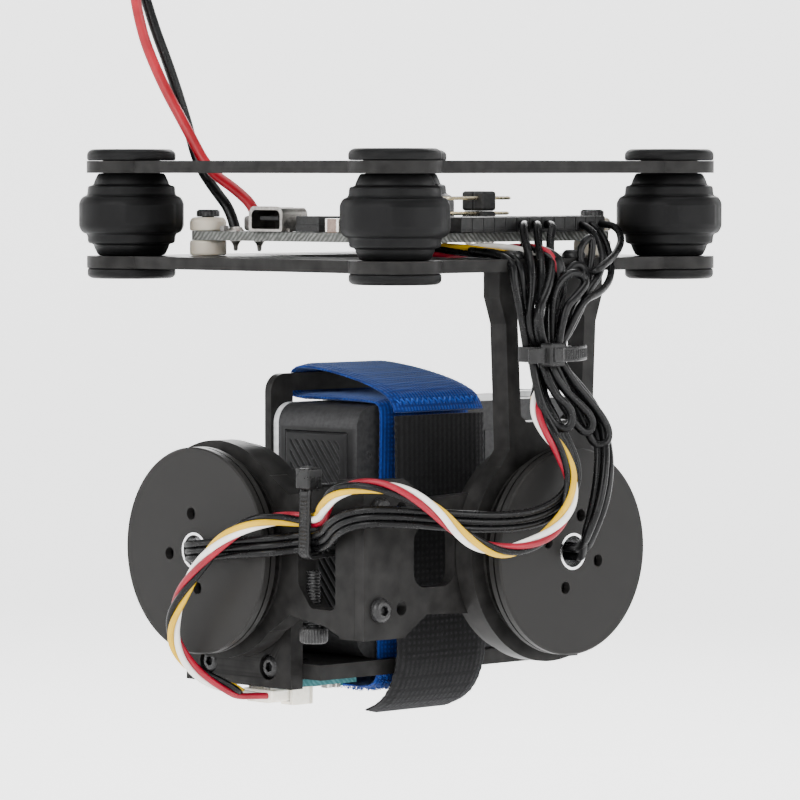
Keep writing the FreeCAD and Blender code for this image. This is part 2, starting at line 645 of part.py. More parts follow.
def camera_tray():
    """The folded tray: a shelf with strap slots and an upright front plate with a lens window."""
    shelf = box(SHELF_X0, SHELF_X1, -13.5, FRONT_Y1, SHELF_Z0, SHELF_Z1)
    shelf = shelf.cut(box(-15.8, 5.8, -12.4, -10.3, SHELF_Z0, SHELF_Z1))
    front = box(TAB_X[0], SHELF_X1, FRONT_Y0, FRONT_Y1, SHELF_Z1, -41.2)
    tab = round_edges(box(TAB_X[0], TAB_X[1], FRONT_Y0, FRONT_Y1, -44.0, TAB_TOP_Z), 3.0, Y,
                      lambda edge: edge.CenterOfMass.z > TAB_TOP_Z - 1)
    window = rod(LENS_WINDOW_R, (LENS_X, FRONT_Y0, LENS_Z), (LENS_X, FRONT_Y1, LENS_Z))
    lighten = round_edges(box(-14.0, 2.0, FRONT_Y0, FRONT_Y1, -74.0, -48.0), 3.0, Y)
    strap_slot = box(-15.6, 5.6, FRONT_Y0, FRONT_Y1, -40.4, -37.9)
    tray = shelf.fuse([front, tab]).removeSplitter().cut([window, lighten, strap_slot])
    cuts = []
    for s in (-1, 1):
        y = PITCH_Y + s * TRAY_SCREW_Y
        cuts.append(rod(0.95, (SHELF_X0, y, TRAY_SCREW_Z), (SHELF_X0 + 6.0, y, TRAY_SCREW_Z)))
    for x in (16.0, -9.0):
        cuts.append(rod(CAMERA_BOLT_R, (x, -1.0, SHELF_Z0), (x, -1.0, SHELF_Z1)))
    return tray.cut(cuts)


def tray_screw(y):
    """A screw sunk in the hub's flange that goes into the edge of the tray."""
    seat, z = TRAY_SCREW_SEAT, TRAY_SCREW_Z
    head = rod(TRAY_HEAD_R, (HUB_X0 + 0.1, y, z), (seat, y, z))
    head = head.fuse(rod(0.9, (seat, y, z), (seat + 5.6, y, z))).removeSplitter()
    return head.cut(rod(SOCKET_R, (HUB_X0 + 0.1, y, z), (HUB_X0 + 0.8, y, z)))


save("tray_hub", hub_plate())
save("camera_tray", camera_tray())
save("tray_screws", *[tray_screw(PITCH_Y + s * TRAY_SCREW_Y) for s in (-1, 1)])


# --- Tilt sensor -----------------------------------------------------------------------------------

SENSOR_Z1 = SHELF_Z0 - 0.3
SENSOR_Z0 = SENSOR_Z1 - 1.2

save("sensor_board", box(-30.8, -17.6, -8.0, 9.0, SENSOR_Z0, SENSOR_Z1).fuse(
    box(-29.0, -19.0, -2.0, 4.0, SENSOR_Z1, SENSOR_Z1 + 0.25)).removeSplitter(),
     box(-21.6, -18.6, -1.8, 1.2, SENSOR_Z0 - 1.0, SENSOR_Z0 - GAP),
     box(-19.8, -18.0, 3.0, 5.0, SENSOR_Z0 - 0.8, SENSOR_Z0 - GAP),
     box(-19.8, -18.0, -5.2, -3.4, SENSOR_Z0 - 0.8, SENSOR_Z0 - GAP))
SOCKET_Z0 = SENSOR_Z0 - 3.4
sensor_socket = box(-28.5, -24.0, -4.6, 4.6, SOCKET_Z0, SENSOR_Z0 - GAP)
save("sensor_socket", sensor_socket.cut(box(-28.5, -25.0, -3.7, 3.7, SOCKET_Z0 + 0.6, SENSOR_Z0 - 0.6)))
save("sensor_plug", box(-32.2, -25.1, -3.6, 3.6, SOCKET_Z0 + 0.7, SENSOR_Z0 - 0.7))


# --- Camera ----------------------------------------------------------------------------------------

DOOR_X = CAMERA_LOW[0] + 1.3
FRONT_PANEL_Y = CAMERA_HIGH[1] - 1.2
CAMERA_EDGE_R = 3.4
BARREL_R = 9.0
BARREL_Y1 = 16.4
GLASS_R = 6.3
BUTTON_AT = (27.0, -0.5)
BUTTON_R = 4.0
BUTTON_TOP_Z = CAMERA_HIGH[2] + 0.9


def camera_shape(x0, x1, y0, y1):
    """A slice of the camera's rounded block."""
    return round_box(x0, x1, y0, y1, CAMERA_LOW[2], CAMERA_HIGH[2], CAMERA_EDGE_R, Y)


def camera_body():
    """The camera's main case, with the lens barrel's root and the button's well."""
    body = camera_shape(CAMERA_LOW[0], CAMERA_HIGH[0], CAMERA_LOW[1], FRONT_PANEL_Y)
    door = box(CAMERA_LOW[0] - 1, DOOR_X, -8.4, 6.4, -76.0, -44.0)
    well = rod(BUTTON_R + GAP, (*BUTTON_AT, CAMERA_HIGH[2] - 1.4), (*BUTTON_AT, CAMERA_HIGH[2]))
    return body.cut([door, well])


def camera_front():
    """The pale front panel, with a round hole for the lens."""
    panel = camera_shape(CAMERA_LOW[0], CAMERA_HIGH[0], FRONT_PANEL_Y + GAP, CAMERA_HIGH[1])
    return panel.cut(rod(BARREL_R + 0.2, (LENS_X, FRONT_PANEL_Y, LENS_Z), (LENS_X, CAMERA_HIGH[1], LENS_Z)))


def camera_door():
    """The grooved side door that covers the camera's sockets."""
    door = box(CAMERA_LOW[0] - 0.35, DOOR_X - GAP, -8.3, 6.3, -75.9, -44.1)
    return round_edges(door, 1.5, X)


def lens_barrel():
    """The lens housing that stands out of the front."""
    back, face = (LENS_X, FRONT_PANEL_Y + GAP, LENS_Z), (LENS_X, BARREL_Y1, LENS_Z)
    barrel = tube(BARREL_R, GLASS_R + 0.1, back, face)
    return barrel.fuse(rod(BARREL_R, back, (LENS_X, 10.2, LENS_Z))).removeSplitter()


save("camera_body", camera_body())
save("camera_front", camera_front())
save("camera_door", camera_door())
save("lens_barrel", lens_barrel())
save("lens_glass", rod(GLASS_R, (LENS_X, BARREL_Y1 - 2.0, LENS_Z), (LENS_X, BARREL_Y1 - 0.8, LENS_Z)))
save("shutter_button", rod(BUTTON_R, (*BUTTON_AT, CAMERA_HIGH[2] - 0.7), (*BUTTON_AT, BUTTON_TOP_Z)))


# --- Strap -----------------------------------------------------------------------------------------

STRAP_X0 = -15.0
STRAP_X1 = 5.0


def band(points, half):
    """A flat band across the strap's width that follows a bent line in the Y, Z plane."""
    left, right = [], []
    for n, (y, z) in enumerate(points):
        before = points[max(n - 1, 0)]
        after = points[min(n + 1, len(points) - 1)]
        run = V(after[0] - before[0], after[1] - before[1], 0).normalize()
        left.append((y - run.y * half, z + run.x * half))
        right.append((y + run.y * half, z - run.x * half))
    return outline(left + right[::-1], in_yz(STRAP_X0), V(STRAP_X1 - STRAP_X0, 0, 0))


# The strap starts at its stitched end behind the camera, goes forward over the front tab, turns
# back through the tab's slot, over the camera, down behind it and forward under the shelf.
STRAP_LINE = [(-15.6, -40.6), (-14.8, -38.4), (-11.0, -36.7), (-4.0, -35.2), (4.0, -34.1), (9.8, -33.8),
              (11.8, -34.8), (12.5, -36.4), (12.1, -38.2), (11.0, -39.0), (9.0, -38.9), (-10.0, -38.9),
              (-12.0, -39.5), (-12.3, -41.6), (-11.8, -60.0), (-11.5, -79.0), (-11.5, -84.0), (-9.4, -85.7),
              (0.0, -85.7), (9.0, -85.0)]
HOOK_BAND = [(-15.7, -41.2), (-15.9, -55.0), (-16.1, -70.0), (-16.4, -79.8), (-15.4, -83.6), (-13.6, -86.6),
             (-11.0, -88.6), (-8.4, -89.4)]
TAPE_HALF = 0.55
HOOK_HALF = 0.75
save("strap", band(STRAP_LINE, TAPE_HALF))
save("strap_hook", band(HOOK_BAND, HOOK_HALF))


# --- Wiring ----------------------------------------------------------------------------------------

def cord_path(points):
    """Straight runs joined by tangent arcs that are as large as the runs allow."""
    points = [V(*p) for p in points]
    edges, radii, here = [], [], points[0]
    for before, corner, after in zip(points, points[1:], points[2:]):
        into = (corner - before)
        out = (after - corner)
        shorter = min(into.Length, out.Length)
        into.normalize()
        out.normalize()
        turn = math.acos(max(-1.0, min(1.0, into.dot(out))))
        back = 0.45 * shorter
        radius = back / math.tan(turn / 2)
        start = corner - into * back
        end = corner + out * back
        bisector = (out - into).normalize()
        centre = corner + bisector * (radius / math.cos(turn / 2))
        middle = centre - bisector * radius
        edges.append(Part.LineSegment(here, start).toShape())
        edges.append(Part.Arc(start, middle, end).toShape())
        radii.append(radius)
        here = end
    edges.append(Part.LineSegment(here, points[-1]).toShape())
    return Part.Wire(edges), radii


def cord(name, points, r):
    """A round cord along its path, written out with its bend radii and its volume check."""
    wire, radii = cord_path(points)
    along = (V(*points[1]) - V(*points[0])).normalize()
    ring = Part.Wire(Part.makeCircle(r, V(*points[0]), along))
    solid = wire.makePipeShell([ring], True, True)
    expected = math.pi * r * r * wire.Length
    print(name, "length", round(wire.Length, 1), "volume ratio", round(solid.Volume / expected, 4),
          "radii", [round(v, 1) for v in radii])
    return solid


POWER_R = 0.9
POWER_Z = BOARD_TOP_Z + GAP
RED_LEAD = [(-22.4, 10.0, POWER_Z), (-22.5, 10.6, -8.0), (-23.2, 14.6, -4.8), (-24.6, 20.0, -1.6),
            (-26.0, 23.3, 4.6), (-28.0, 28.3, 13.5), (-29.8, 31.8, 23.0), (-30.2, 33.0, 32.0)]
BLACK_LEAD = [(-22.4, 15.8, POWER_Z), (-22.5, 16.8, -8.2), (-22.9, 20.4, -4.8), (-23.4, 24.0, -0.6),
              (-23.9, 26.2, 6.5), (-25.4, 28.8, 15.5), (-27.0, 31.8, 24.0), (-27.4, 34.6, 32.0)]
POWER_PLUG_LOW = (-33.3, 30.3, 32.0)
POWER_PLUG_HIGH = (-24.3, 37.3, 45.0)


def power_plug():
    """The two-pin plug that ends the power leads, with a locking ramp and two contact holes."""
    low, high = POWER_PLUG_LOW, POWER_PLUG_HIGH
    body = round_box(low[0], high[0], low[1], high[1], low[2], high[2], 1.2, Z)
    ramp = box(-30.8, -26.8, high[1], high[1] + 0.9, low[2] + 3.0, low[2] + 7.0)
    holes = [box(x - 1.3, x + 1.3, 32.5, 35.1, high[2] - 6.0, high[2]) for x in (-31.0, -26.6)]
    return body.fuse(ramp).removeSplitter().cut(holes)


save("power_lead_red", cord("power_lead_red", RED_LEAD, POWER_R))
save("power_lead_black", cord("power_lead_black", BLACK_LEAD, POWER_R))
save("power_plug", power_plug())

PLUG_WIRE_Z = (PLUG_Z0 + PLUG_Z1) / 2
ROLL_WIRES_R = 1.45
PITCH_WIRES_R = 1.2
SENSOR_CABLE_R = 1.15
TIE_Y = -20.8
ROLL_WIRES = [(3.0, PLUG_Y0 - GAP, PLUG_WIRE_Z), (3.0, -33.0, PLUG_WIRE_Z), (1.8, -37.6, -13.6),
              (-1.2, -38.9, -20.8), (-2.8, -38.6, -27.6), (-2.6, -39.6, -35.2), (-0.2, -42.6, -43.0),
              (1.8, -45.4, -50.0), (1.2, -46.6, -56.4), (0.1, -45.2, -61.8), (0, -41.6, AXIS_Z),
              (0, -36.6, AXIS_Z)]
PITCH_WIRES_UPPER = [(15.9, PLUG_Y0 - GAP, PLUG_WIRE_Z), (15.9, -33.2, PLUG_WIRE_Z), (13.4, -38.2, -14.6),
                     (6.2, -42.2, -19.0), (-2.8, -42.0, -23.4), (-5.9, -39.3, -28.4), (-5.8, -38.9, -33.0),
                     (-5.0, -41.0, -39.0), (-3.6, -43.6, -44.6), (-3.6, -44.8, -49.6), (-6.8, -45.2, -53.9),
                     (-12.5, -44.4, -56.6), (-20.2, -43.2, -57.0), (-28.6, -41.4, -56.4),
                     (-36.4, -37.6, -55.8), (-41.4, -32.8, -55.4), (-41.6, -27.8, -57.8),
                     (-39.4, -23.4, -60.4), (-39.4, TIE_Y, -60.4)]
PITCH_WIRES_LOWER = [(-39.4, TIE_Y, -60.4), (-39.4, -18.5, -60.4), (-44.3, -15.8, -60.9),
                     (-45.5, -9.8, -61.3), (-46.0, -3.4, -62.0), (-46.4, 2.4, -62.5),
                     (-43.0, PITCH_Y, AXIS_Z), (-38.0, PITCH_Y, AXIS_Z)]
SENSOR_CABLE_UPPER = [(-12.4, -17.0, -14.4), (-6.4, -24.2, -14.5), (-1.6, -29.6, -14.2),
                      (-1.3, -35.2, -13.6), (-2.6, -40.2, -15.8), (-7.0, -42.4, -21.0),
                      (-8.7, -39.2, -27.4), (-8.4, -39.0, -33.0), (-9.9, -42.4, -40.6),
                      (-8.0, -45.4, -46.2), (-6.8, -47.3, -51.4), (-9.2, -47.9, -56.6),
                      (-14.6, -47.2, -60.6), (-22.0, -45.7, -61.6), (-29.0, -45.2, -58.6),
                      (-34.0, -42.8, -53.4), (-38.6, -37.2, -50.7), (-42.0, -31.6, -50.6),
                      (-42.2, -27.0, -53.6), (-39.4, -23.4, -56.8), (-39.4, TIE_Y, -56.8)]
SENSOR_CABLE_LOWER = [(-39.4, TIE_Y, -56.8), (-39.4, -18.2, -56.8), (-43.9, -16.2, -56.4),
                      (-47.0, -12.6, -57.4), (-48.4, -7.6, -61.0), (-48.8, -2.2, -66.4),
                      (-48.2, 2.2, -72.4), (-46.8, 4.2, -78.2), (-44.0, 2.4, -82.8), (-39.6, 0.2, -85.6),
                      (-35.6, 0, -86.4), (-32.25, 0, -86.4)]

save("roll_motor_wires", cord("roll_motor_wires", ROLL_WIRES, ROLL_WIRES_R))
save("pitch_wires_upper", cord("pitch_wires_upper", PITCH_WIRES_UPPER, PITCH_WIRES_R))
save("pitch_wires_lower", cord("pitch_wires_lower", PITCH_WIRES_LOWER, PITCH_WIRES_R))
save("sensor_cable_upper", cord("sensor_cable_upper", SENSOR_CABLE_UPPER, SENSOR_CABLE_R))
save("sensor_cable_lower", cord("sensor_cable_lower", SENSOR_CABLE_LOWER, SENSOR_CABLE_R))


def tie(inner_low, inner_high, through, head):
    """A cable tie: a thin band round what it holds, and its square head."""
    wall = 0.4
    outer_low = [v - wall * (n != through) for n, v in enumerate(inner_low)]
    outer_high = [v + wall * (n != through) for n, v in enumerate(inner_high)]
    band_solid = box(outer_low[0], outer_high[0], outer_low[1], outer_high[1], outer_low[2], outer_high[2])
    hole = box(inner_low[0], inner_high[0], inner_low[1], inner_high[1], inner_low[2], inner_high[2])
    return band_solid.cut(hole).fuse(box(*head)).removeSplitter()


save("harness_tie", tie((-10.6, -41.0, -32.0), (-1.0, -36.9, -29.5), 2,
                        (-9.4, -5.8, -43.4, -41.2, -32.4, -29.0)))
save("bracket_tie", tie((-40.9, -22.2, -61.85), (PITCH_ARM_X1 + GAP, -19.6, -51.55), 1,
                        (-41.9, -39.0, -22.6, -19.2, -51.3, -48.4)))
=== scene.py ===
import bmesh
import bpy
import json
import math
import random

from mathutils import Matrix, Vector


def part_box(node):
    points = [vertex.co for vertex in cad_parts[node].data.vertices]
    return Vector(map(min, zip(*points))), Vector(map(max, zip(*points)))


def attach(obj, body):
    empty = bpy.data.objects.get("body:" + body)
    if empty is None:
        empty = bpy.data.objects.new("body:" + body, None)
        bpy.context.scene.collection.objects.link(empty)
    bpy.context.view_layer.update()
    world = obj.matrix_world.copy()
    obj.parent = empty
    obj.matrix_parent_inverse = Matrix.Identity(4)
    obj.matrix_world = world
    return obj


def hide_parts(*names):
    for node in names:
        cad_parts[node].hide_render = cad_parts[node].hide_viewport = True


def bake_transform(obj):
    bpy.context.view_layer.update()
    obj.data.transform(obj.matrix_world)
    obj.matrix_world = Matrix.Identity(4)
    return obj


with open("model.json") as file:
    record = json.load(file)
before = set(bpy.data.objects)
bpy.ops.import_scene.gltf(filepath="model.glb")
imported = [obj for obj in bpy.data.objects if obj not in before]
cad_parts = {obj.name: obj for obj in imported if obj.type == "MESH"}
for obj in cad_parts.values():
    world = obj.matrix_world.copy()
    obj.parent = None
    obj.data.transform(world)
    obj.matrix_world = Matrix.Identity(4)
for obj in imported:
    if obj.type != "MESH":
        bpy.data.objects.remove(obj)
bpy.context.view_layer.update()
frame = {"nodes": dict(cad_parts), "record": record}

MM = 0.001


def mm(x, y, z):
    """A point given in millimetres."""
    return Vector((x * MM, y * MM, z * MM))


def middle_of(node):
    """The middle of a CAD node's box."""
    low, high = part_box(node)
    return (low + high) / 2


# --- Camera ------------------------------------------------------------------------------------------

VIEW_AZIMUTH = math.radians(-44)
VIEW_DISTANCE = 0.8136
VIEW_DROP = math.radians(2.72)
VIEW_LENS = 220.8

camera = bpy.data.objects.new("camera", bpy.data.cameras.new("camera"))
bpy.context.scene.collection.objects.link(camera)
camera.location = (math.sin(VIEW_AZIMUTH) * VIEW_DISTANCE, -math.cos(VIEW_AZIMUTH) * VIEW_DISTANCE, -0.001)
camera.rotation_euler = (math.radians(90) - VIEW_DROP, 0, VIEW_AZIMUTH)
camera.data.lens = VIEW_LENS
camera.data.sensor_width = 36.0
camera.data.clip_end = 20.0
bpy.context.scene.camera = camera


# --- Materials -----------------------------------------------------------------------------------------

class Nodes:
    """A material's node tree with short calls for the nodes used here."""

    def __init__(self, name):
        self.material = bpy.data.materials.new(name)
        self.material.use_nodes = True
        self.tree = self.material.node_tree
        self.shader = self.tree.nodes["Principled BSDF"]
        self.place = self.add("ShaderNodeTexCoord").outputs["Object"]

    def add(self, kind, **settings):
        node = self.tree.nodes.new(kind)
        for key, value in settings.items():
            setattr(node, key, value)
        return node

    def feed(self, socket, value):
        if isinstance(value, bpy.types.NodeSocket):
            self.tree.links.new(value, socket)
        else:
            socket.default_value = value

    def noise(self, scale, detail=4, rough=0.5):
        node = self.add("ShaderNodeTexNoise")
        self.feed(node.inputs["Vector"], self.place)
        node.inputs["Scale"].default_value = scale
        node.inputs["Detail"].default_value = detail
        node.inputs["Roughness"].default_value = rough
        return node.outputs["Fac"]

    def wave(self, scale, direction, place=None, distortion=0, rings=False):
        node = self.add("ShaderNodeTexWave", wave_type="RINGS" if rings else "BANDS")
        if rings:
            node.rings_direction = direction
        else:
            node.bands_direction = direction
        self.feed(node.inputs["Vector"], place or self.place)
        node.inputs["Scale"].default_value = scale
        node.inputs["Distortion"].default_value = distortion
        return node.outputs["Fac"]

    def moved(self, location):
        node = self.add("ShaderNodeMapping")
        self.feed(node.inputs["Vector"], self.place)
        node.inputs["Location"].default_value = location
        return node.outputs["Vector"]

    def math(self, operation, a, b=0):
        node = self.add("ShaderNodeMath", operation=operation)
        self.feed(node.inputs[0], a)
        self.feed(node.inputs[1], b)
        return node.outputs[0]

    def span(self, value, low, high, start=0.3, stop=0.7):
        node = self.add("ShaderNodeMapRange")
        self.feed(node.inputs["Value"], value)
        node.inputs["From Min"].default_value = start
        node.inputs["From Max"].default_value = stop
        node.inputs["To Min"].default_value = low
        node.inputs["To Max"].default_value = high
        return node.outputs["Result"]

    def mix(self, share, a, b):
        node = self.add("ShaderNodeMix", data_type="RGBA")
        self.feed(node.inputs["Factor"], share)
        for socket, value in ((node.inputs[6], a), (node.inputs[7], b)):
            self.feed(socket, value if isinstance(value, bpy.types.NodeSocket) else (*value, 1))
        return node.outputs[2]

    def bump(self, height, strength, distance):
        node = self.add("ShaderNodeBump")
        node.inputs["Strength"].default_value = strength
        node.inputs["Distance"].default_value = distance
        self.feed(node.inputs["Height"], height)
        return node.outputs["Normal"]

    def set(self, **sockets):
        for key, value in sockets.items():
            socket = self.shader.inputs[key.replace("_", " ")]
            if socket.type == "RGBA" and isinstance(value, tuple):
                value = (*value, 1)
            self.feed(socket, value)
        return self


def edge_highlight_and_wear_mask(n):
    """Bright where an edge stands out: a painted highlight for corners that catch the light, also used as
    paler worn edges.
    """
    return n.span(n.add("ShaderNodeNewGeometry").outputs["Pointiness"], 0, 1, 0.515, 0.56)


def surface(name, dark, light, rough, scale=90, bump=0.15, grain=2500, edge=None, **sockets):
    """A finish with cloudy colour, uneven gloss, a fine grain and, if asked, paler edges, partly wear and
    partly a painted highlight where edges catch the light.
    """
    n = Nodes(name)
    colour = n.mix(n.span(n.noise(scale), 0, 1), dark, light)
    if edge is not None:
        # Paler edges: partly wear, partly a painted highlight on corners that catch the light.
        edge_wear_and_highlight = n.math("MULTIPLY", edge_highlight_and_wear_mask(n), n.span(n.noise(scale * 6), 0.35, 1))
        colour = n.mix(edge_wear_and_highlight, colour, edge)
    n.set(Base_Color=colour, Roughness=n.span(n.noise(scale * 3, 6), rough[0], rough[1]),
          Normal=n.bump(n.noise(grain, 3), bump, 0.05 * MM))
    return n.set(**sockets).material


def turned_metal(name, centre, direction):
    """Black anodised aluminium with faint rings from the lathe about a motor's axis."""
    n = Nodes(name)
    place = n.moved(location=tuple(-c for c in centre))
    rings = n.wave(560, direction, place, rings=True)
    grain = n.noise(2600, 3)
    colour = n.mix(n.span(n.noise(70), 0, 1), (0.0022, 0.0020, 0.0019), (0.0034, 0.0032, 0.0030))
    # Paler edges and rims on the bell: a painted highlight where they catch the light, partly wear too.
    colour = n.mix(edge_highlight_and_wear_mask(n), colour, (0.016, 0.0155, 0.015))
    height = n.math("ADD", n.math("MULTIPLY", rings, 0.3), grain)
    n.set(Base_Color=colour, Roughness=n.span(n.noise(160, 6), 0.30, 0.40),
          Normal=n.bump(height, 0.08, 0.03 * MM), Specular_IOR_Level=0.075)
    return n.material


def board_material(name, mask_dark, mask_light, edges):
    """Solder mask with traces on the faces, and bare glass fibre on the sawn edges."""
    n = Nodes(name)
    normal = n.add("ShaderNodeSeparateXYZ")
    n.feed(normal.inputs[0], n.add("ShaderNodeNewGeometry").outputs["Normal"])
    flat = n.span(n.math("ABSOLUTE", normal.outputs["Z"]), 0, 1, 0.5, 0.6)
    fibre = n.math("MULTIPLY", n.wave(620, "DIAGONAL", distortion=3), n.span(n.noise(900), 0.2, 1))
    edge_colour = n.mix(n.span(n.noise(60), 0, 1), edges[0], edges[1])
    edge_colour = n.mix(n.span(fibre, 0, 0.55, 0.1, 0.8), edge_colour, edges[2])
    brick = n.add("ShaderNodeTexBrick")
    n.feed(brick.inputs["Vector"], n.place)
    brick.inputs["Scale"].default_value = 120.0
    brick.inputs["Mortar Size"].default_value = 0.035
    for key, level in (("Color1", 0), ("Color2", 0), ("Mortar", 1)):
        brick.inputs[key].default_value = (level, level, level, 1)
    mask = n.mix(n.span(n.noise(140), 0, 1), mask_dark, mask_light)
    traces = n.math("MULTIPLY", brick.outputs["Color"], n.span(n.noise(50), 0, 0.8, 0.45, 0.55))
    mask = n.mix(traces, mask, tuple(2.6 * c for c in mask_light))
    n.set(Base_Color=n.mix(flat, edge_colour, mask), Roughness=n.span(flat, 0.75, 0.32, 0, 1),
          Normal=n.bump(n.math("ADD", fibre, traces), 0.25, 0.05 * MM), Specular_IOR_Level=0.3)
    return n.material


def cloth_material(name, dark, light, thread, rib, sheen, tint):
    """Woven tape: ribs across and along, fuzzy variation and a soft sheen."""
    n = Nodes(name)
    along = n.wave(thread, "X", distortion=0.4)
    across = n.wave(rib, "Z", distortion=0.6)
    across = n.math("MAXIMUM", across, n.wave(rib, "Y", distortion=0.6))
    weave = n.math("MULTIPLY", along, across)
    fuzz = n.noise(1600, 6, rough=0.7)
    shade = n.math("ADD", n.math("MULTIPLY", weave, 0.55), n.math("MULTIPLY", fuzz, 0.6))
    n.set(Base_Color=n.mix(n.span(shade, 0, 1, 0.25, 0.85), dark, light),
          Roughness=n.span(fuzz, 0.75, 0.95), Normal=n.bump(shade, 0.6, 0.25 * MM),
          Specular_IOR_Level=0.2, Sheen_Weight=sheen, Sheen_Roughness=0.4, Sheen_Tint=tint)
    return n.material


def wire_material(name, dark, light, gloss=(0.30, 0.44), shine=0.28):
    """Silicone or vinyl insulation with a soft highlight."""
    return surface(name, dark, light, gloss, 260, 0.10, 1800, Specular_IOR_Level=shine)


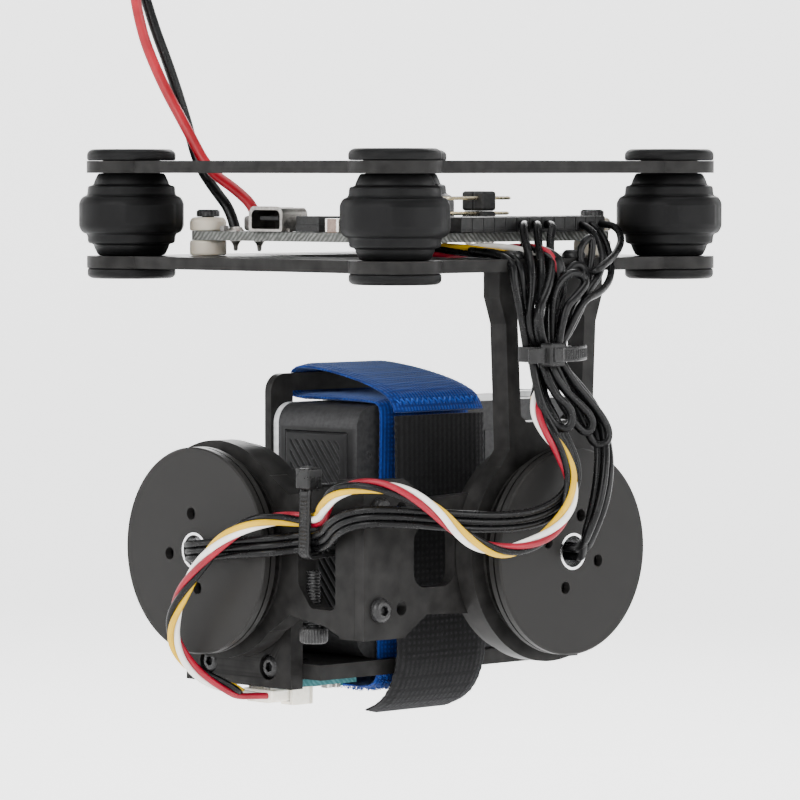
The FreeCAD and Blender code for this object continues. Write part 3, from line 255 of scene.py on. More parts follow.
# A surface's eighth value is its edge colour: paler edges, partly wear and partly a painted highlight.
MATERIALS = {
    "black_plate": surface("anodised_black", (0.0020, 0.0019, 0.0019), (0.0032, 0.0031, 0.0030),
        (0.34, 0.46), 60, 0.10, 2600, (0.018, 0.0175, 0.017), Specular_IOR_Level=0.06),
    "board": board_material("controller_mask", (0.004, 0.005, 0.005), (0.010, 0.014, 0.012),
        ((0.040, 0.042, 0.038), (0.13, 0.135, 0.125), (0.36, 0.365, 0.35))),
    "sensor_mask": board_material("sensor_mask", (0.004, 0.030, 0.034), (0.010, 0.060, 0.066),
        ((0.010, 0.050, 0.055), (0.020, 0.11, 0.12), (0.08, 0.24, 0.26))),
    "rubber": surface("isolator_rubber", (0.0018, 0.0018, 0.0019), (0.0034, 0.0034, 0.0036), (0.42, 0.56),
        120, 0.22, 1500, (0.008, 0.008, 0.008), Specular_IOR_Level=0.10),
    "black_screw": surface("black_oxide", (0.003, 0.003, 0.0033), (0.007, 0.007, 0.0073), (0.22, 0.34), 300,
        0.10, 3000, (0.035, 0.035, 0.035), Specular_IOR_Level=0.22),
    "nylon": surface("natural_nylon", (0.42, 0.37, 0.30), (0.56, 0.51, 0.42), (0.4, 0.55), 150, 0.15, 1500,
        Subsurface_Weight=0.35, Subsurface_Radius=(0.004, 0.003, 0.002), Subsurface_Scale=0.5),
    "tinned": surface("tinned_steel", (0.30, 0.28, 0.25), (0.55, 0.52, 0.47), (0.22, 0.4), 400, 0.15, 2200,
        (0.8, 0.78, 0.74), Metallic=0.95),
    "shell_steel": surface("shell_steel", (0.050, 0.048, 0.044), (0.12, 0.117, 0.108), (0.30, 0.45), 300,
        0.15, 2200, (0.38, 0.36, 0.34), Metallic=0.95),
    "gold_pin": surface("gold_flash", (0.52, 0.40, 0.20), (0.78, 0.66, 0.42), (0.2, 0.35), 500, 0.10, 3000,
        (0.9, 0.82, 0.62), Metallic=0.95),
    "chip": surface("chip_epoxy", (0.004, 0.004, 0.0043), (0.009, 0.009, 0.0095), (0.45, 0.6), 500, 0.25,
        5000, (0.03, 0.03, 0.03), Specular_IOR_Level=0.2),
    "passive": surface("grey_ceramic", (0.055, 0.053, 0.050), (0.13, 0.125, 0.115), (0.45, 0.62), 500, 0.25,
        4000, (0.28, 0.27, 0.26)),
    "brown_ceramic": surface("brown_ceramic", (0.11, 0.050, 0.035), (0.18, 0.09, 0.065), (0.3, 0.5), 600,
        0.2, 4000, (0.34, 0.25, 0.2)),
    "black_plastic": surface("moulded_black", (0.0025, 0.0025, 0.0027), (0.0050, 0.0050, 0.0053),
        (0.34, 0.46), 200, 0.15, 2400, (0.02, 0.02, 0.02), Specular_IOR_Level=0.14),
    "tie_plastic": surface("tie_nylon", (0.0020, 0.0020, 0.0022), (0.0038, 0.0038, 0.0040), (0.24, 0.36),
        300, 0.12, 2000, (0.012, 0.012, 0.012), Specular_IOR_Level=0.20),
    "white_plastic": surface("white_nylon", (0.62, 0.57, 0.47), (0.76, 0.71, 0.60), (0.35, 0.5), 250, 0.15,
        2000, (0.82, 0.78, 0.70), Subsurface_Weight=0.2, Subsurface_Scale=0.3,
        Subsurface_Radius=(0.002, 0.0015, 0.001)),
    "steel": surface("shaft_steel", (0.42, 0.42, 0.43), (0.66, 0.66, 0.67), (0.16, 0.3), 300, 0.08, 3000,
        (0.95, 0.95, 0.95), Metallic=1),
    "magnet": surface("nickel_magnet", (0.16, 0.16, 0.165), (0.30, 0.30, 0.305), (0.25, 0.4), 400, 0.1,
        3000, Metallic=1),
    "lamination": surface("lamination", (0.03, 0.03, 0.032), (0.07, 0.07, 0.074), (0.4, 0.55), 300, 0.2,
        2000, Metallic=0.8),
    "copper": surface("enamelled_copper", (0.20, 0.075, 0.035), (0.36, 0.15, 0.075), (0.25, 0.4), 900, 0.6,
        1500, (0.55, 0.3, 0.18), Metallic=0.85),
    "black_wire": wire_material("black_wire", (0.0018, 0.0018, 0.0020), (0.0036, 0.0036, 0.0038),
        (0.24, 0.34), 0.16),
    "red_wire": wire_material("red_wire", (0.19, 0.0002, 0.0052), (0.29, 0.0007, 0.0105)),
    "crimson_wire": wire_material("crimson_wire", (0.16, 0.0006, 0.0085), (0.24, 0.0016, 0.0150)),
    "white_wire": wire_material("white_wire", (0.60, 0.58, 0.54), (0.76, 0.74, 0.70)),
    "yellow_wire": wire_material("yellow_wire", (0.46, 0.27, 0.0001), (0.58, 0.35, 0.0003)),
    "camera_case": surface("camera_case", (0.0050, 0.0050, 0.0053), (0.0090, 0.0090, 0.0095), (0.42, 0.56),
        200, 0.30, 3400, (0.030, 0.030, 0.031), Specular_IOR_Level=0.16),
    "camera_front": surface("camera_front", (0.30, 0.31, 0.32), (0.42, 0.43, 0.44), (0.28, 0.4), 200, 0.12,
        3000, (0.6, 0.6, 0.6)),
    "lens_glass": surface("lens_glass", (0.002, 0.002, 0.008), (0.008, 0.004, 0.016), (0.02, 0.05), 80, 0,
        500, Coat_Weight=0.25, Coat_Roughness=0.02, Specular_IOR_Level=0.22),
    "blue_strap": cloth_material("blue_tape", (0.0004, 0.0075, 0.064), (0.0025, 0.035, 0.225), 460, 420,
        0.22, (0.4, 0.55, 1)),
    "blue_pile": cloth_material("blue_pile", (0.002, 0.026, 0.18), (0.009, 0.095, 0.50), 300, 280, 0.4,
        (0.45, 0.6, 1)),
    "black_strap": cloth_material("black_hook", (0.0012, 0.0012, 0.0014), (0.0085, 0.0085, 0.0090), 300,
        300, 0.06, (0.7, 0.7, 0.75)),
    "roll_metal": turned_metal("roll_anodised", middle_of("roll_motor_bell"), "Y"),
    "pitch_metal": turned_metal("pitch_anodised", middle_of("pitch_motor_bell"), "X"),
}


def paint(obj, material):
    """Give an object one material in every slot."""
    obj.data.materials.clear()
    obj.data.materials.append(MATERIALS[material])
    return obj


# --- CAD nodes that stay: materials and softened edges ---------------------------------------------------

SPECIAL_FINISH = {"roll_motor_bell": "roll_metal", "pitch_motor_bell": "pitch_metal",
                  "sensor_board": "sensor_mask"}
EDGE_WIDTHS = {"top_plate": 0.25, "bottom_plate": 0.25, "roll_arm": 0.3, "roll_plate": 0.25, "pitch_arm": 0.3,
               "camera_tray": 0.25, "tray_hub": 0.3, "power_plug": 0.35, "camera_front": 0.35,
               "lens_barrel": 0.3, "shutter_button": 0.25, "plug_housings": 0.12, "roll_motor_hub": 0.1,
               "pitch_motor_hub": 0.1}
SMALL_EDGE = 0.06


def soften(obj, width):
    """Round the sharp edges a little, and shade curved faces smoothly."""
    bevel = obj.modifiers.new("edges", "BEVEL")
    bevel.width = width * MM
    bevel.segments = 2
    bevel.limit_method = "ANGLE"
    bevel.angle_limit = math.radians(35)
    for polygon in obj.data.polygons:
        polygon.use_smooth = True
    obj.modifiers.new("shade", "WEIGHTED_NORMAL")


slot_of = {s["node"]: s["material_slot"] for s in frame["record"]["subparts"]}
for node_name, node in frame["nodes"].items():
    finish = SPECIAL_FINISH.get(node_name, slot_of[node_name])
    paint(node, finish if finish in MATERIALS else "black_wire")
    soften(node, EDGE_WIDTHS.get(node_name, SMALL_EDGE))


# --- Mesh helpers ----------------------------------------------------------------------------------------

def new_object(name, mesh, material):
    """A painted object in the scene."""
    obj = bpy.data.objects.new(name, mesh)
    bpy.context.scene.collection.objects.link(obj)
    return paint(obj, material)


def from_bmesh(name, bm, material, smooth=True):
    """Turn a finished bmesh into a painted object."""
    bmesh.ops.recalc_face_normals(bm, faces=bm.faces)
    mesh = bpy.data.meshes.new(name)
    bm.to_mesh(mesh)
    bm.free()
    for polygon in mesh.polygons:
        polygon.use_smooth = smooth
    return new_object(name, mesh, material)


def loft(bm, rings, caps=True):
    """Join closed rings of points, each with the same count, into one skin."""
    made = [[bm.verts.new(p) for p in ring] for ring in rings]
    count = len(made[0])
    for a, b in zip(made, made[1:]):
        for i in range(count):
            j = (i + 1) % count
            bm.faces.new((a[i], a[j], b[j], b[i]))
    if caps:
        bm.faces.new(made[0])
        bm.faces.new(made[-1])


def route_curve(name, points):
    """A NURBS spline through open space, its control points in millimetres."""
    data = bpy.data.curves.new(name, "CURVE")
    data.dimensions = "3D"
    data.resolution_u = 12
    spline = data.splines.new("NURBS")
    spline.points.add(len(points) - 1)
    for point, place in zip(spline.points, points):
        point.co = (*mm(*place), 1)
    spline.order_u = 3
    spline.use_endpoint_u = True
    return data


def line_of(points, step=0.5):
    """Evenly spaced points along the smooth route."""
    data = route_curve("route", points)
    obj = bpy.data.objects.new("route", data)
    bpy.context.scene.collection.objects.link(obj)
    mesh = bpy.data.meshes.new_from_object(obj.evaluated_get(bpy.context.evaluated_depsgraph_get()))
    raw = [v.co.copy() for v in mesh.vertices]
    bpy.data.objects.remove(obj)
    bpy.data.curves.remove(data)
    bpy.data.meshes.remove(mesh)
    lengths = [0]
    for a, b in zip(raw, raw[1:]):
        lengths.append(lengths[-1] + (b - a).length)
    count = max(2, int(lengths[-1] / (step * MM)))
    line, k = [], 0
    for n in range(count + 1):
        want = lengths[-1] * n / count
        while k < len(lengths) - 2 and lengths[k + 1] < want:
            k += 1
        gap = lengths[k + 1] - lengths[k]
        share = (want - lengths[k]) / gap if gap > 0 else 0
        line.append(raw[k].lerp(raw[k + 1], share))
    return line


def frames_of(line):
    """At each point of a line: along, side and over directions that don't spin."""
    found, side = [], None
    for n in range(len(line)):
        along = (line[min(n + 1, len(line) - 1)] - line[max(n - 1, 0)]).normalized()
        if side is None:
            side = along.cross(Vector((0, 0, 1))).normalized()
            if side.length < 0.5:
                side = along.cross(Vector((1, 0, 0))).normalized()
        side = (side - along * side.dot(along)).normalized()
        found.append((along, side, along.cross(side)))
    return found


def length_of(line):
    """The length of a line in metres."""
    return sum((b - a).length for a, b in zip(line, line[1:]))


def tube(bm, line, radius, sides=10):
    """A round tube along a line, closed at both ends; radius may be a function of the share of its length."""
    rings = []
    for n, (point, (_, side, over)) in enumerate(zip(line, frames_of(line))):
        r = (radius(n / (len(line) - 1)) if callable(radius) else radius) * MM
        rings.append([point + side * (r * math.cos(a)) + over * (r * math.sin(a))
                      for a in (2 * math.pi * i / sides for i in range(sides))])
    loft(bm, rings)


def offset_line(line, place):
    """A line beside another: place gives the side and over offsets in millimetres at each share."""
    moved = []
    for n, (point, (_, side, over)) in enumerate(zip(line, frames_of(line))):
        u, v = place(n / (len(line) - 1))
        moved.append(point + side * (u * MM) + over * (v * MM))
    return moved


def rounded(profile, back=0.35, steps=3):
    """A closed outline with each corner turned into a short curve."""
    out = []
    for n, corner in enumerate(profile):
        here, before, after = (Vector(p) for p in (corner, profile[n - 1], profile[(n + 1) % len(profile)]))
        a = here + (before - here).normalized() * min(back, (before - here).length * 0.45)
        b = here + (after - here).normalized() * min(back, (after - here).length * 0.45)
        for k in range(steps + 1):
            t = k / steps
            out.append(tuple(a.lerp(here, t).lerp(here.lerp(b, t), t)))
    return out


AROUND = {"X": lambda c, u, v, h: mm(h, c[0] + u, c[1] + v),
          "Y": lambda c, u, v, h: mm(c[0] + u, h, c[1] + v),
          "Z": lambda c, u, v, h: mm(c[0] + u, c[1] + v, h)}


def lathe(bm, profile, axis, centre, segments=64, shift=None):
    """Turn a closed (radius, height) outline about an axis; shift adds to the radius at each place."""
    place = AROUND[axis]
    made = []
    for n in range(segments):
        angle = 2 * math.pi * n / segments
        ring = []
        for r, h in profile:
            out = r + (shift(angle, r, h) if shift and r > 0 else 0)
            ring.append(bm.verts.new(place(centre, out * math.cos(angle), out * math.sin(angle), h)))
        made.append(ring)
    for n, ring in enumerate(made):
        after = made[(n + 1) % segments]
        for j in range(len(ring)):
            k = (j + 1) % len(ring)
            bm.faces.new((ring[j], ring[k], after[k], after[j]))
    bmesh.ops.remove_doubles(bm, verts=bm.verts, dist=0.5e-6)


def soft_box(bm, low, high, r=0.12, steps=2):
    """A block with rounded edges between two corners in millimetres."""
    size = [(b - a) * MM for a, b in zip(low, high)]
    middle = mm(*((a + b) / 2 for a, b in zip(low, high)))
    made = bmesh.ops.create_cube(bm, size=1, matrix=Matrix.Translation(middle) @ Matrix.Diagonal((*size, 1)))
    edges = {e for v in made["verts"] for e in v.link_edges}
    bmesh.ops.bevel(bm, geom=list(edges), offset=min(r * MM, 0.45 * min(size)), segments=steps,
                    affect="EDGES", profile=0.5)


def hexagon(r):
    """The radius of a six-sided outline at each angle."""
    return lambda a: r * math.cos(math.pi / 6) / math.cos((a % (math.pi / 3)) - math.pi / 6)


def turned(bm, base, out, rows, sides=48):
    """Rings about a direction, given as (radius or outline, height) in millimetres, closed at both ends."""
    out = Vector(out).normalized()
    u = out.orthogonal().normalized()
    v = out.cross(u)
    rings = []
    for r, h in rows:
        radius = r if callable(r) else (lambda a, r=r: r)
        ring = []
        for n in range(sides):
            a = 2 * math.pi * n / sides
            ring.append(mm(*base) + out * (h * MM) + (u * math.cos(a) + v * math.sin(a)) * (radius(a) * MM))
        rings.append(ring)
    loft(bm, rings)


def button_screw(bm, seat, out, head_r, head_h, recess_r, depth, shank_r, shank):
    """A domed screw head with a hexagon socket, and its shank."""
    hexed = hexagon(recess_r)
    turned(bm, seat, out, [
        (shank_r * 0.75, -shank), (shank_r, 0.3 - shank), (shank_r, 0), (head_r * 0.95, 0),
        (head_r, 0.10 * head_h), (head_r, 0.32 * head_h), (head_r * 0.96, 0.55 * head_h),
        (head_r * 0.88, 0.76 * head_h), (head_r * 0.76, 0.92 * head_h), (head_r * 0.64, head_h),
        (lambda a: hexed(a) * 1.10, head_h), (hexed, head_h - 0.08), (hexed, head_h - depth),
        (lambda a: hexed(a) * 0.3, head_h - depth * 1.1)])


def cap_screw(bm, seat, out, head_r, head_h, recess_r, depth, shank_r, shank):
    """A cylindrical screw head with a knurled side and a hexagon socket, and its shank."""
    hexed = hexagon(recess_r)
    knurl = lambda a: head_r * (1.0 + 0.018 * math.cos(24 * a))
    turned(bm, seat, out, [
        (shank_r * 0.75, -shank), (shank_r, 0.3 - shank), (shank_r, 0), (head_r * 0.93, 0),
        (knurl, 0.10 * head_h), (knurl, 0.72 * head_h), (head_r * 0.96, 0.86 * head_h),
        (head_r * 0.84, head_h), (lambda a: hexed(a) * 1.12, head_h), (hexed, head_h - 0.08),
        (hexed, head_h - depth), (lambda a: hexed(a) * 0.3, head_h - depth * 1.1)], 72)


def settle(obj, body, slot_name, *nodes):
    """Attach a piece to its body and hide the CAD nodes it stands for; slot_name, the record's finish, is not
    used.
    """
    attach(obj, body)
    if nodes:
        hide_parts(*nodes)
    return obj


def piece(name, bm, finish, body, *nodes, slot_name=None, smooth=False):
    """Make a piece from a bmesh, painted with the finish, and attach it; slot_name is not used."""
    return settle(from_bmesh(name, bm, finish, smooth), body, slot_name or finish, *nodes)


def bend(obj, a, b, start, end, slot_name, *nodes):
    """Bake a piece's transform and hide the CAD nodes it stands for; the two bodies and the span from start
    to end in millimetres are not used.
    """
    if nodes:
        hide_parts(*nodes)
    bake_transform(obj)


# --- Setting and light -----------------------------------------------------------------------------------

world = bpy.data.worlds.new("studio")
world.use_nodes = True
world.node_tree.nodes["Background"].inputs["Color"].default_value = (1, 1, 1, 1)
world.node_tree.nodes["Background"].inputs["Strength"].default_value = 0.55
bpy.context.scene.world = world

MATERIALS["backdrop"] = surface("backdrop_paper", (0.84, 0.84, 0.84), (0.88, 0.88, 0.88), (0.8, 0.95), 3,
                                0.02, 400, Emission_Color=(1, 1, 1), Emission_Strength=1.25)

sweep = bmesh.new()
dish = [(900, -210), (1300, -190), (1560, -100), (1720, 80), (1790, 320),
        (1800, 900), (1820, 900), (1810, 320), (1740, 70), (1580, -115), (1310, -208),
        (900, -230)]
lathe(sweep, rounded(dish, 60), "Z", (0, 0), 96)
bmesh.ops.holes_fill(sweep, edges=[e for e in sweep.edges if e.is_boundary])
backdrop = from_bmesh("backdrop", sweep, "backdrop")
floor_mesh = bmesh.new()
bmesh.ops.create_circle(floor_mesh, cap_ends=True, radius=0.92, segments=96,
                        matrix=Matrix.Translation((0, 0, -0.2099)))
floor = from_bmesh("floor", floor_mesh, "backdrop")


def area_light(name, place, size, power):
    """A square light aimed at the object."""
    data = bpy.data.lights.new(name, "AREA")
    data.size = size
    data.energy = power
    lamp = bpy.data.objects.new(name, data)
    bpy.context.scene.collection.objects.link(lamp)
    lamp.location = place
    lamp.rotation_euler = (Vector((0, 0, -0.04)) - Vector(place)).to_track_quat("-Z", "Y").to_euler()


area_light("key", (-0.95, -0.15, 0.55), 0.6, 10)
area_light("fill", (0.15, -1.05, 0.30), 0.6, 6)
area_light("top", (0.05, 0.05, 1.15), 0.9, 11)
area_light("rim", (0.75, 0.65, 0.40), 0.6, 8)


# --- Power leads -----------------------------------------------------------------------------------------

POWER_R = 0.9
RED_LEAD = [(-22.4, 10, -11.55), (-22.5, 10.6, -8), (-23.2, 14.6, -4.8), (-24.6, 20, -1.6),
            (-26, 23.3, 4.6), (-28, 28.3, 13.5), (-29.8, 31.8, 23), (-30.2, 33, 32)]
BLACK_LEAD = [(-22.4, 15.8, -11.55), (-22.5, 16.8, -8.2), (-22.9, 20.4, -4.8), (-23.4, 24, -0.6),
              (-23.9, 26.2, 6.5), (-25.4, 28.8, 15.5), (-27, 31.8, 24), (-27.4, 34.6, 32)]


def power_lead(name, node, points, material):
    """One free lead from the board up to the plug."""
    data = route_curve(name, points)
    data.bevel_depth = POWER_R * MM
    data.bevel_resolution = 6
    data.use_fill_caps = True
    lead = settle(new_object(name, data, material), "isolated_frame", material, node)


def plug_mesh():
    """The moulded two-pin plug: a ribbed grip, a locking ramp and hollow contact ways."""
    low, high = (-33.3, 30.3, 32), (-24.3, 37.3, 45)
    bm = bmesh.new()
    soft_box(bm, low, (high[0], high[1], 38.2), 0.9, 3)
    for n in range(5):
        z = 33.2 + 0.95 * n
        soft_box(bm, (low[0] - 0.12, low[1] - 0.12, z), (high[0] + 0.12, high[1] + 0.12, z + 0.5), 0.2)
    for x in (-31, -26.6):
        wall = [(x - 1.9, 31.9), (x + 1.9, 31.9), (x + 1.9, 35.7), (x - 1.9, 35.7)]
        bore = [(x - 1.3, 32.5), (x + 1.3, 32.5), (x + 1.3, 35.1), (x - 1.3, 35.1)]
        rows = ((wall, 38), (wall, 44.7), (wall, 44.9), (bore, 44.9), (bore, 44.7), (bore, 39.5))
        loft(bm, [[mm(u, v, z) for u, v in rounded(shape, 0.5)] for shape, z in rows])
    soft_box(bm, (-29.4, 32.6, 38), (-28.2, 35, 44), 0.2)
    soft_box(bm, (-30.8, 36.9, 35), (-26.8, 38.2, 38.6), 0.3)
    return from_bmesh("plug_body", bm, "black_plastic", False)


plug_body = settle(plug_mesh(), "isolated_frame", "black_plastic", "power_plug")
power_lead("lead_red", "power_lead_red", RED_LEAD, "red_wire")
power_lead("lead_black", "power_lead_black", BLACK_LEAD, "black_wire")


# --- Rubber isolators --------------------------------------------------------------------------------------

BALL = [(2, 1.95), (6.6, 1.95), (7.35, 1.35), (7.35, 0.05), (4.45, 0.05), (4.45, -2.05), (5.5, -2.05),
        (6.15, -3.4), (6.3, -4), (7.2, -4.15), (7.35, -5.7), (8.15, -5.95), (8.7, -6.9), (8.7, -10.9),
        (8.15, -11.85), (7.35, -12.1), (7.2, -13.6), (6.3, -13.75), (6.15, -14.4), (5.5, -15.65),
        (4.45, -15.65), (4.45, -17.75), (7.3, -17.75), (7.3, -19), (6.6, -19.45), (2, -19.45)]


def ball_shift(turn):
    """A flat raised label pad on the band and two thin mould seams, turned about the ball."""
    def shift(angle, r, h):
        from_pad = (angle - turn + math.pi) % (2 * math.pi) - math.pi
        out = 0.0
        if r > 8.3 and abs(from_pad) < 0.55 and -10.7 < h < -7.1:
            out += 0.16
        for seam in (turn + 0.9, turn + 0.9 + math.pi):
            gap = (angle - seam + math.pi) % (2 * math.pi) - math.pi
            if abs(gap) < 0.035 and r > 5.0:
                out += 0.10
        return out
    return shift


def ball_outline():
    """The ball's outline, with more rows down its middle band, where the label pad stands."""
    outline = rounded(BALL, 0.4)
    spot = next(n for n, (r, h) in enumerate(outline) if r > 8.69 and h < -9)
    outline[spot:spot] = [(8.7, -7.0 - 0.35 * k) for k in range(1, 11)]
    return outline


ISOLATOR_X = 31.5
for name, a, b in (("front_right", 1, 1), ("front_left", -1, 1), ("rear_left", -1, -1),
                   ("rear_right", 1, -1)):
    x, y = ISOLATOR_X * a, ISOLATOR_X * b
    bm = bmesh.new()
    lathe(bm, ball_outline(), "Z", (x, y), 120, ball_shift(math.radians(-108)))
    ball = from_bmesh("ball_" + name, bm, "rubber")
    bend(ball, "aircraft_plate", "isolated_frame", (x, y, -2), (x, y, -15.7), "rubber", "isolator_" + name)


# --- Wires -------------------------------------------------------------------------------------------------

HARNESS_R = 0.68


def wires(name, routes, radius):
    """Round black wires along their routes, in one piece."""
    bm = bmesh.new()
    for route in routes:
        tube(bm, line_of(route, 0.4), radius, 12)
    return from_bmesh(name, bm, "black_wire")


SLEEVE = [(-3, -31.4, -14.4), (-1.6, -36.4, -14.8), (-1, -38, -17.6), (-1.6, -37.2, -22.6),
          (-3.4, -37.6, -27.6), (-4.4, -38.3, -31.6), (-6.2, -38.6, -35.6), (-7.6, -39.5, -37.6)]
ROLL_ROUTES = [
    [(0.4, -27, -10.3), (0.4, -28.8, -10.3), (-2, -30.6, -10.3), (-4.1, -33, -12.4), (-7.3, -37.5, -16.1),
     (-8.4, -39, -20.5), (-9.8, -39.5, -25.3), (-8.2, -39.5, -29.8), (-5.2, -40.6, -31), (-3.4, -41, -33),
     (-0.5, -42, -36), (1.8, -43.5, -39.6), (2.4, -44.5, -43.4), (0.8, -46.5, -47.8), (-1.4, -47.5, -53.8),
     (-2.9, -46.5, -58.6), (-1.6, -43.5, -61.6), (-0.9, -40.6, -62.1), (-0.9, -37, -62.1)],
    [(3, -27, -10.3), (3, -28.8, -10.3), (1, -31, -10.4), (-1.1, -33, -12.7), (-5.3, -38, -16.6),
     (-7.4, -40, -21.3), (-9.5, -41, -25.2), (-8.4, -41, -29.7), (-5, -40, -31.4), (-2.3, -40.2, -34),
     (0.9, -41.2, -37.4), (3.1, -42.8, -40.6), (3.5, -44.2, -44.6), (2.1, -46.2, -49), (0.2, -47, -54.4),
     (-1.4, -46, -59), (-0.3, -43.2, -62.2), (0.5, -40.6, -61.8), (0.5, -37, -61.8)],
    [(5.6, -27, -10.3), (5.6, -28.8, -10.3), (4.6, -31, -10.5), (1.6, -33, -12.8), (-3, -38, -16.7),
     (-6.1, -40.5, -19.8), (-10.1, -42, -23.6), (-9.1, -41.5, -27.6), (-7, -41, -30.6), (-3.6, -39.4, -32.6),
     (-0.8, -40.4, -36.2), (1.5, -42.2, -40.4), (1.3, -44.4, -45.2), (-0.4, -45.8, -50.4), (-2, -46, -55.6),
     (-2.2, -44.6, -60.2), (-0.2, -42.2, -63.4), (0.2, -40.4, -63.4), (0.2, -37, -63.4)]]
roll_wires = wires("roll_wires", ROLL_ROUTES, HARNESS_R)
bend(roll_wires, "isolated_frame", "roll_frame", (0, -42, -35), (0, -42, -60.5), "black_wire",
     "roll_motor_wires")

LOOP_ROUTES = [
    [(-9.4, -26, -14.5), (-9.8, -32, -14.8), (-10.4, -36.5, -16.1), (-10.9, -37.5, -19.7),
     (-10.1, -38.5, -25.3), (-9, -38.5, -30.6)],
    [(-7.2, -26, -14.6), (-8, -32, -14.9), (-8.9, -36.8, -16.1), (-8.7, -37.5, -22.2),
     (-8.6, -38.5, -26.9), (-8.1, -38.5, -30.6)],
    [(-4.6, -40, -30.6), (-5.1, -40, -23.8), (-4, -40, -19.8), (-0.8, -40.5, -17.5), (2.4, -41, -19.1),
     (-1, -42, -21.4), (-4.6, -42, -23.7), (-4.8, -41, -30.6)],
    [(-2.4, -39, -30.6), (-0.7, -38, -22.3), (0.7, -37, -18.3), (3.8, -37, -16.3), (5.3, -38, -17.9),
     (3.1, -39, -21.1), (-1.7, -40, -23.8), (-2.8, -40, -30.6)],
    [(-8.6, -40.5, -30.4), (-8.5, -42, -34), (-7.6, -43.5, -37.3), (-5.6, -44.5, -39), (-5.2, -45, -41.1),
     (-6.1, -44.5, -42.7), (-7.5, -43, -41.9), (-9.2, -42, -38.7), (-9.5, -40.5, -34), (-9.6, -40, -30.4)],
    [(-7.3, -40.8, -30.4), (-6.9, -42, -33.5), (-5, -43, -36.7), (-2.6, -44, -38.8), (-0.9, -45, -40.9),
     (-0.9, -45, -42.8), (-2.2, -44.5, -43.4), (-3.9, -43.5, -41.2), (-6.5, -42.5, -37.2), (-7.5, -41, -32.9),
     (-7.4, -40, -30.4)],
    [(-5, -40.8, -30.4), (-2.8, -42, -34.6), (-0.2, -43.5, -38.1), (1.9, -45, -41.3), (2.7, -45.5, -43.8),
     (1.4, -45.5, -45.5), (0.2, -44, -45), (-0.9, -43.5, -42.1), (-1.9, -42, -38.5), (-4.1, -41, -34.1),
     (-5.3, -40, -30.4)]]
settle(wires("harness_loops", LOOP_ROUTES, HARNESS_R), "isolated_frame", "black_wire")

settle(wires("cable_sleeve", [SLEEVE], 1.28), "isolated_frame", "black_wire")

RIBBON = [(-5.4, -39.6, -30.6), (-7.4, -39.6, -33.6), (-8.6, -41.2, -37.8), (-7.4, -42.8, -41.4),
          (-4.9, -43.6, -45.6), (-3.9, -44.4, -49.6), (-6.8, -45.2, -53.9), (-12.5, -44.6, -56.4),
          (-20.2, -43.4, -56.8), (-28.2, -41.4, -56.2), (-35.6, -38, -55.4), (-40.6, -33.2, -55.3),
          (-41.4, -28.2, -57), (-39.5, -23.6, -60), (-39.4, -20.8, -60.1)]
PITCH_TOPS = [
    [(13.7, -27, -10.3), (13.7, -28.8, -10.3), (12.6, -33, -12.1), (10, -37, -15.2), (7.2, -39, -18.4),
     (2.1, -41, -21), (0.5, -41, -23.9), (-2.2, -40, -29)],
    [(15.9, -27, -10.3), (15.9, -28.8, -10.3), (15, -32.5, -12.6), (13, -36, -16.4), (9.6, -39, -19.2),
     (5.1, -41, -21.2), (0.4, -42, -22.1), (-1.6, -41.5, -25.4), (-3.4, -40.8, -29)],
    [(18.1, -27, -10.3), (18.2, -28.8, -10.3), (18.4, -32, -10.7), (16.6, -35, -12.9), (11.8, -38, -15.2),
     (6.2, -40, -17.2), (5.5, -38, -18.4), (5, -36.4, -16.3), (5.4, -36.4, -13.6), (7.9, -36.4, -11.9),
     (7.5, -37, -14.4), (4.8, -38, -22.4), (-1.8, -39, -29)]]
RIBBON_R = 0.60


RIBBON_PITCH = 1.12


def ribbon(name, route, spread, tops=()):
    """Three wires side by side, spread apart at each share of the run, each with its own start if given."""
    bm = bmesh.new()
    centre = line_of(route, 0.4)
    for k in (-1, 0, 1):
        beside = offset_line(centre, lambda s, k=k: (0, k * spread(s)))
        if tops:
            head = line_of(tops[k + 1] + [tuple(c / MM for c in beside[i]) for i in (0, 5)], 0.4)
            beside = head + beside[6:]
        tube(bm, beside, RIBBON_R, 12)
    return from_bmesh(name, bm, "black_wire")


ribbon_upper = ribbon("pitch_ribbon_upper", RIBBON, lambda s: RIBBON_PITCH * min(1, 0.25 + 6.0 * s),
                      PITCH_TOPS)
bend(ribbon_upper, "isolated_frame", "roll_frame", (-4, -42, -36), (-38, -24, -58), "black_wire",
     "pitch_wires_upper")
RIBBON_LOW = [(-39.4, -20.8, -60.1), (-39.4, -18, -60.2), (-43.4, -15.8, -60.7), (-45.4, -9.8, -61.2),
              (-45.9, -3.4, -61.9), (-46.2, 1.6, -62.5), (-43.4, 3.2, -62.6), (-39, 3.2, -62.6)]


ribbon_lower = ribbon("pitch_ribbon_lower", RIBBON_LOW, lambda s: RIBBON_PITCH - 0.1 * max(0, s - 0.7))
bend(ribbon_lower, "roll_frame", "camera_cradle", (-42, -16, -61), (-45, 2.4, -62.4), "black_wire",
     "pitch_wires_lower")

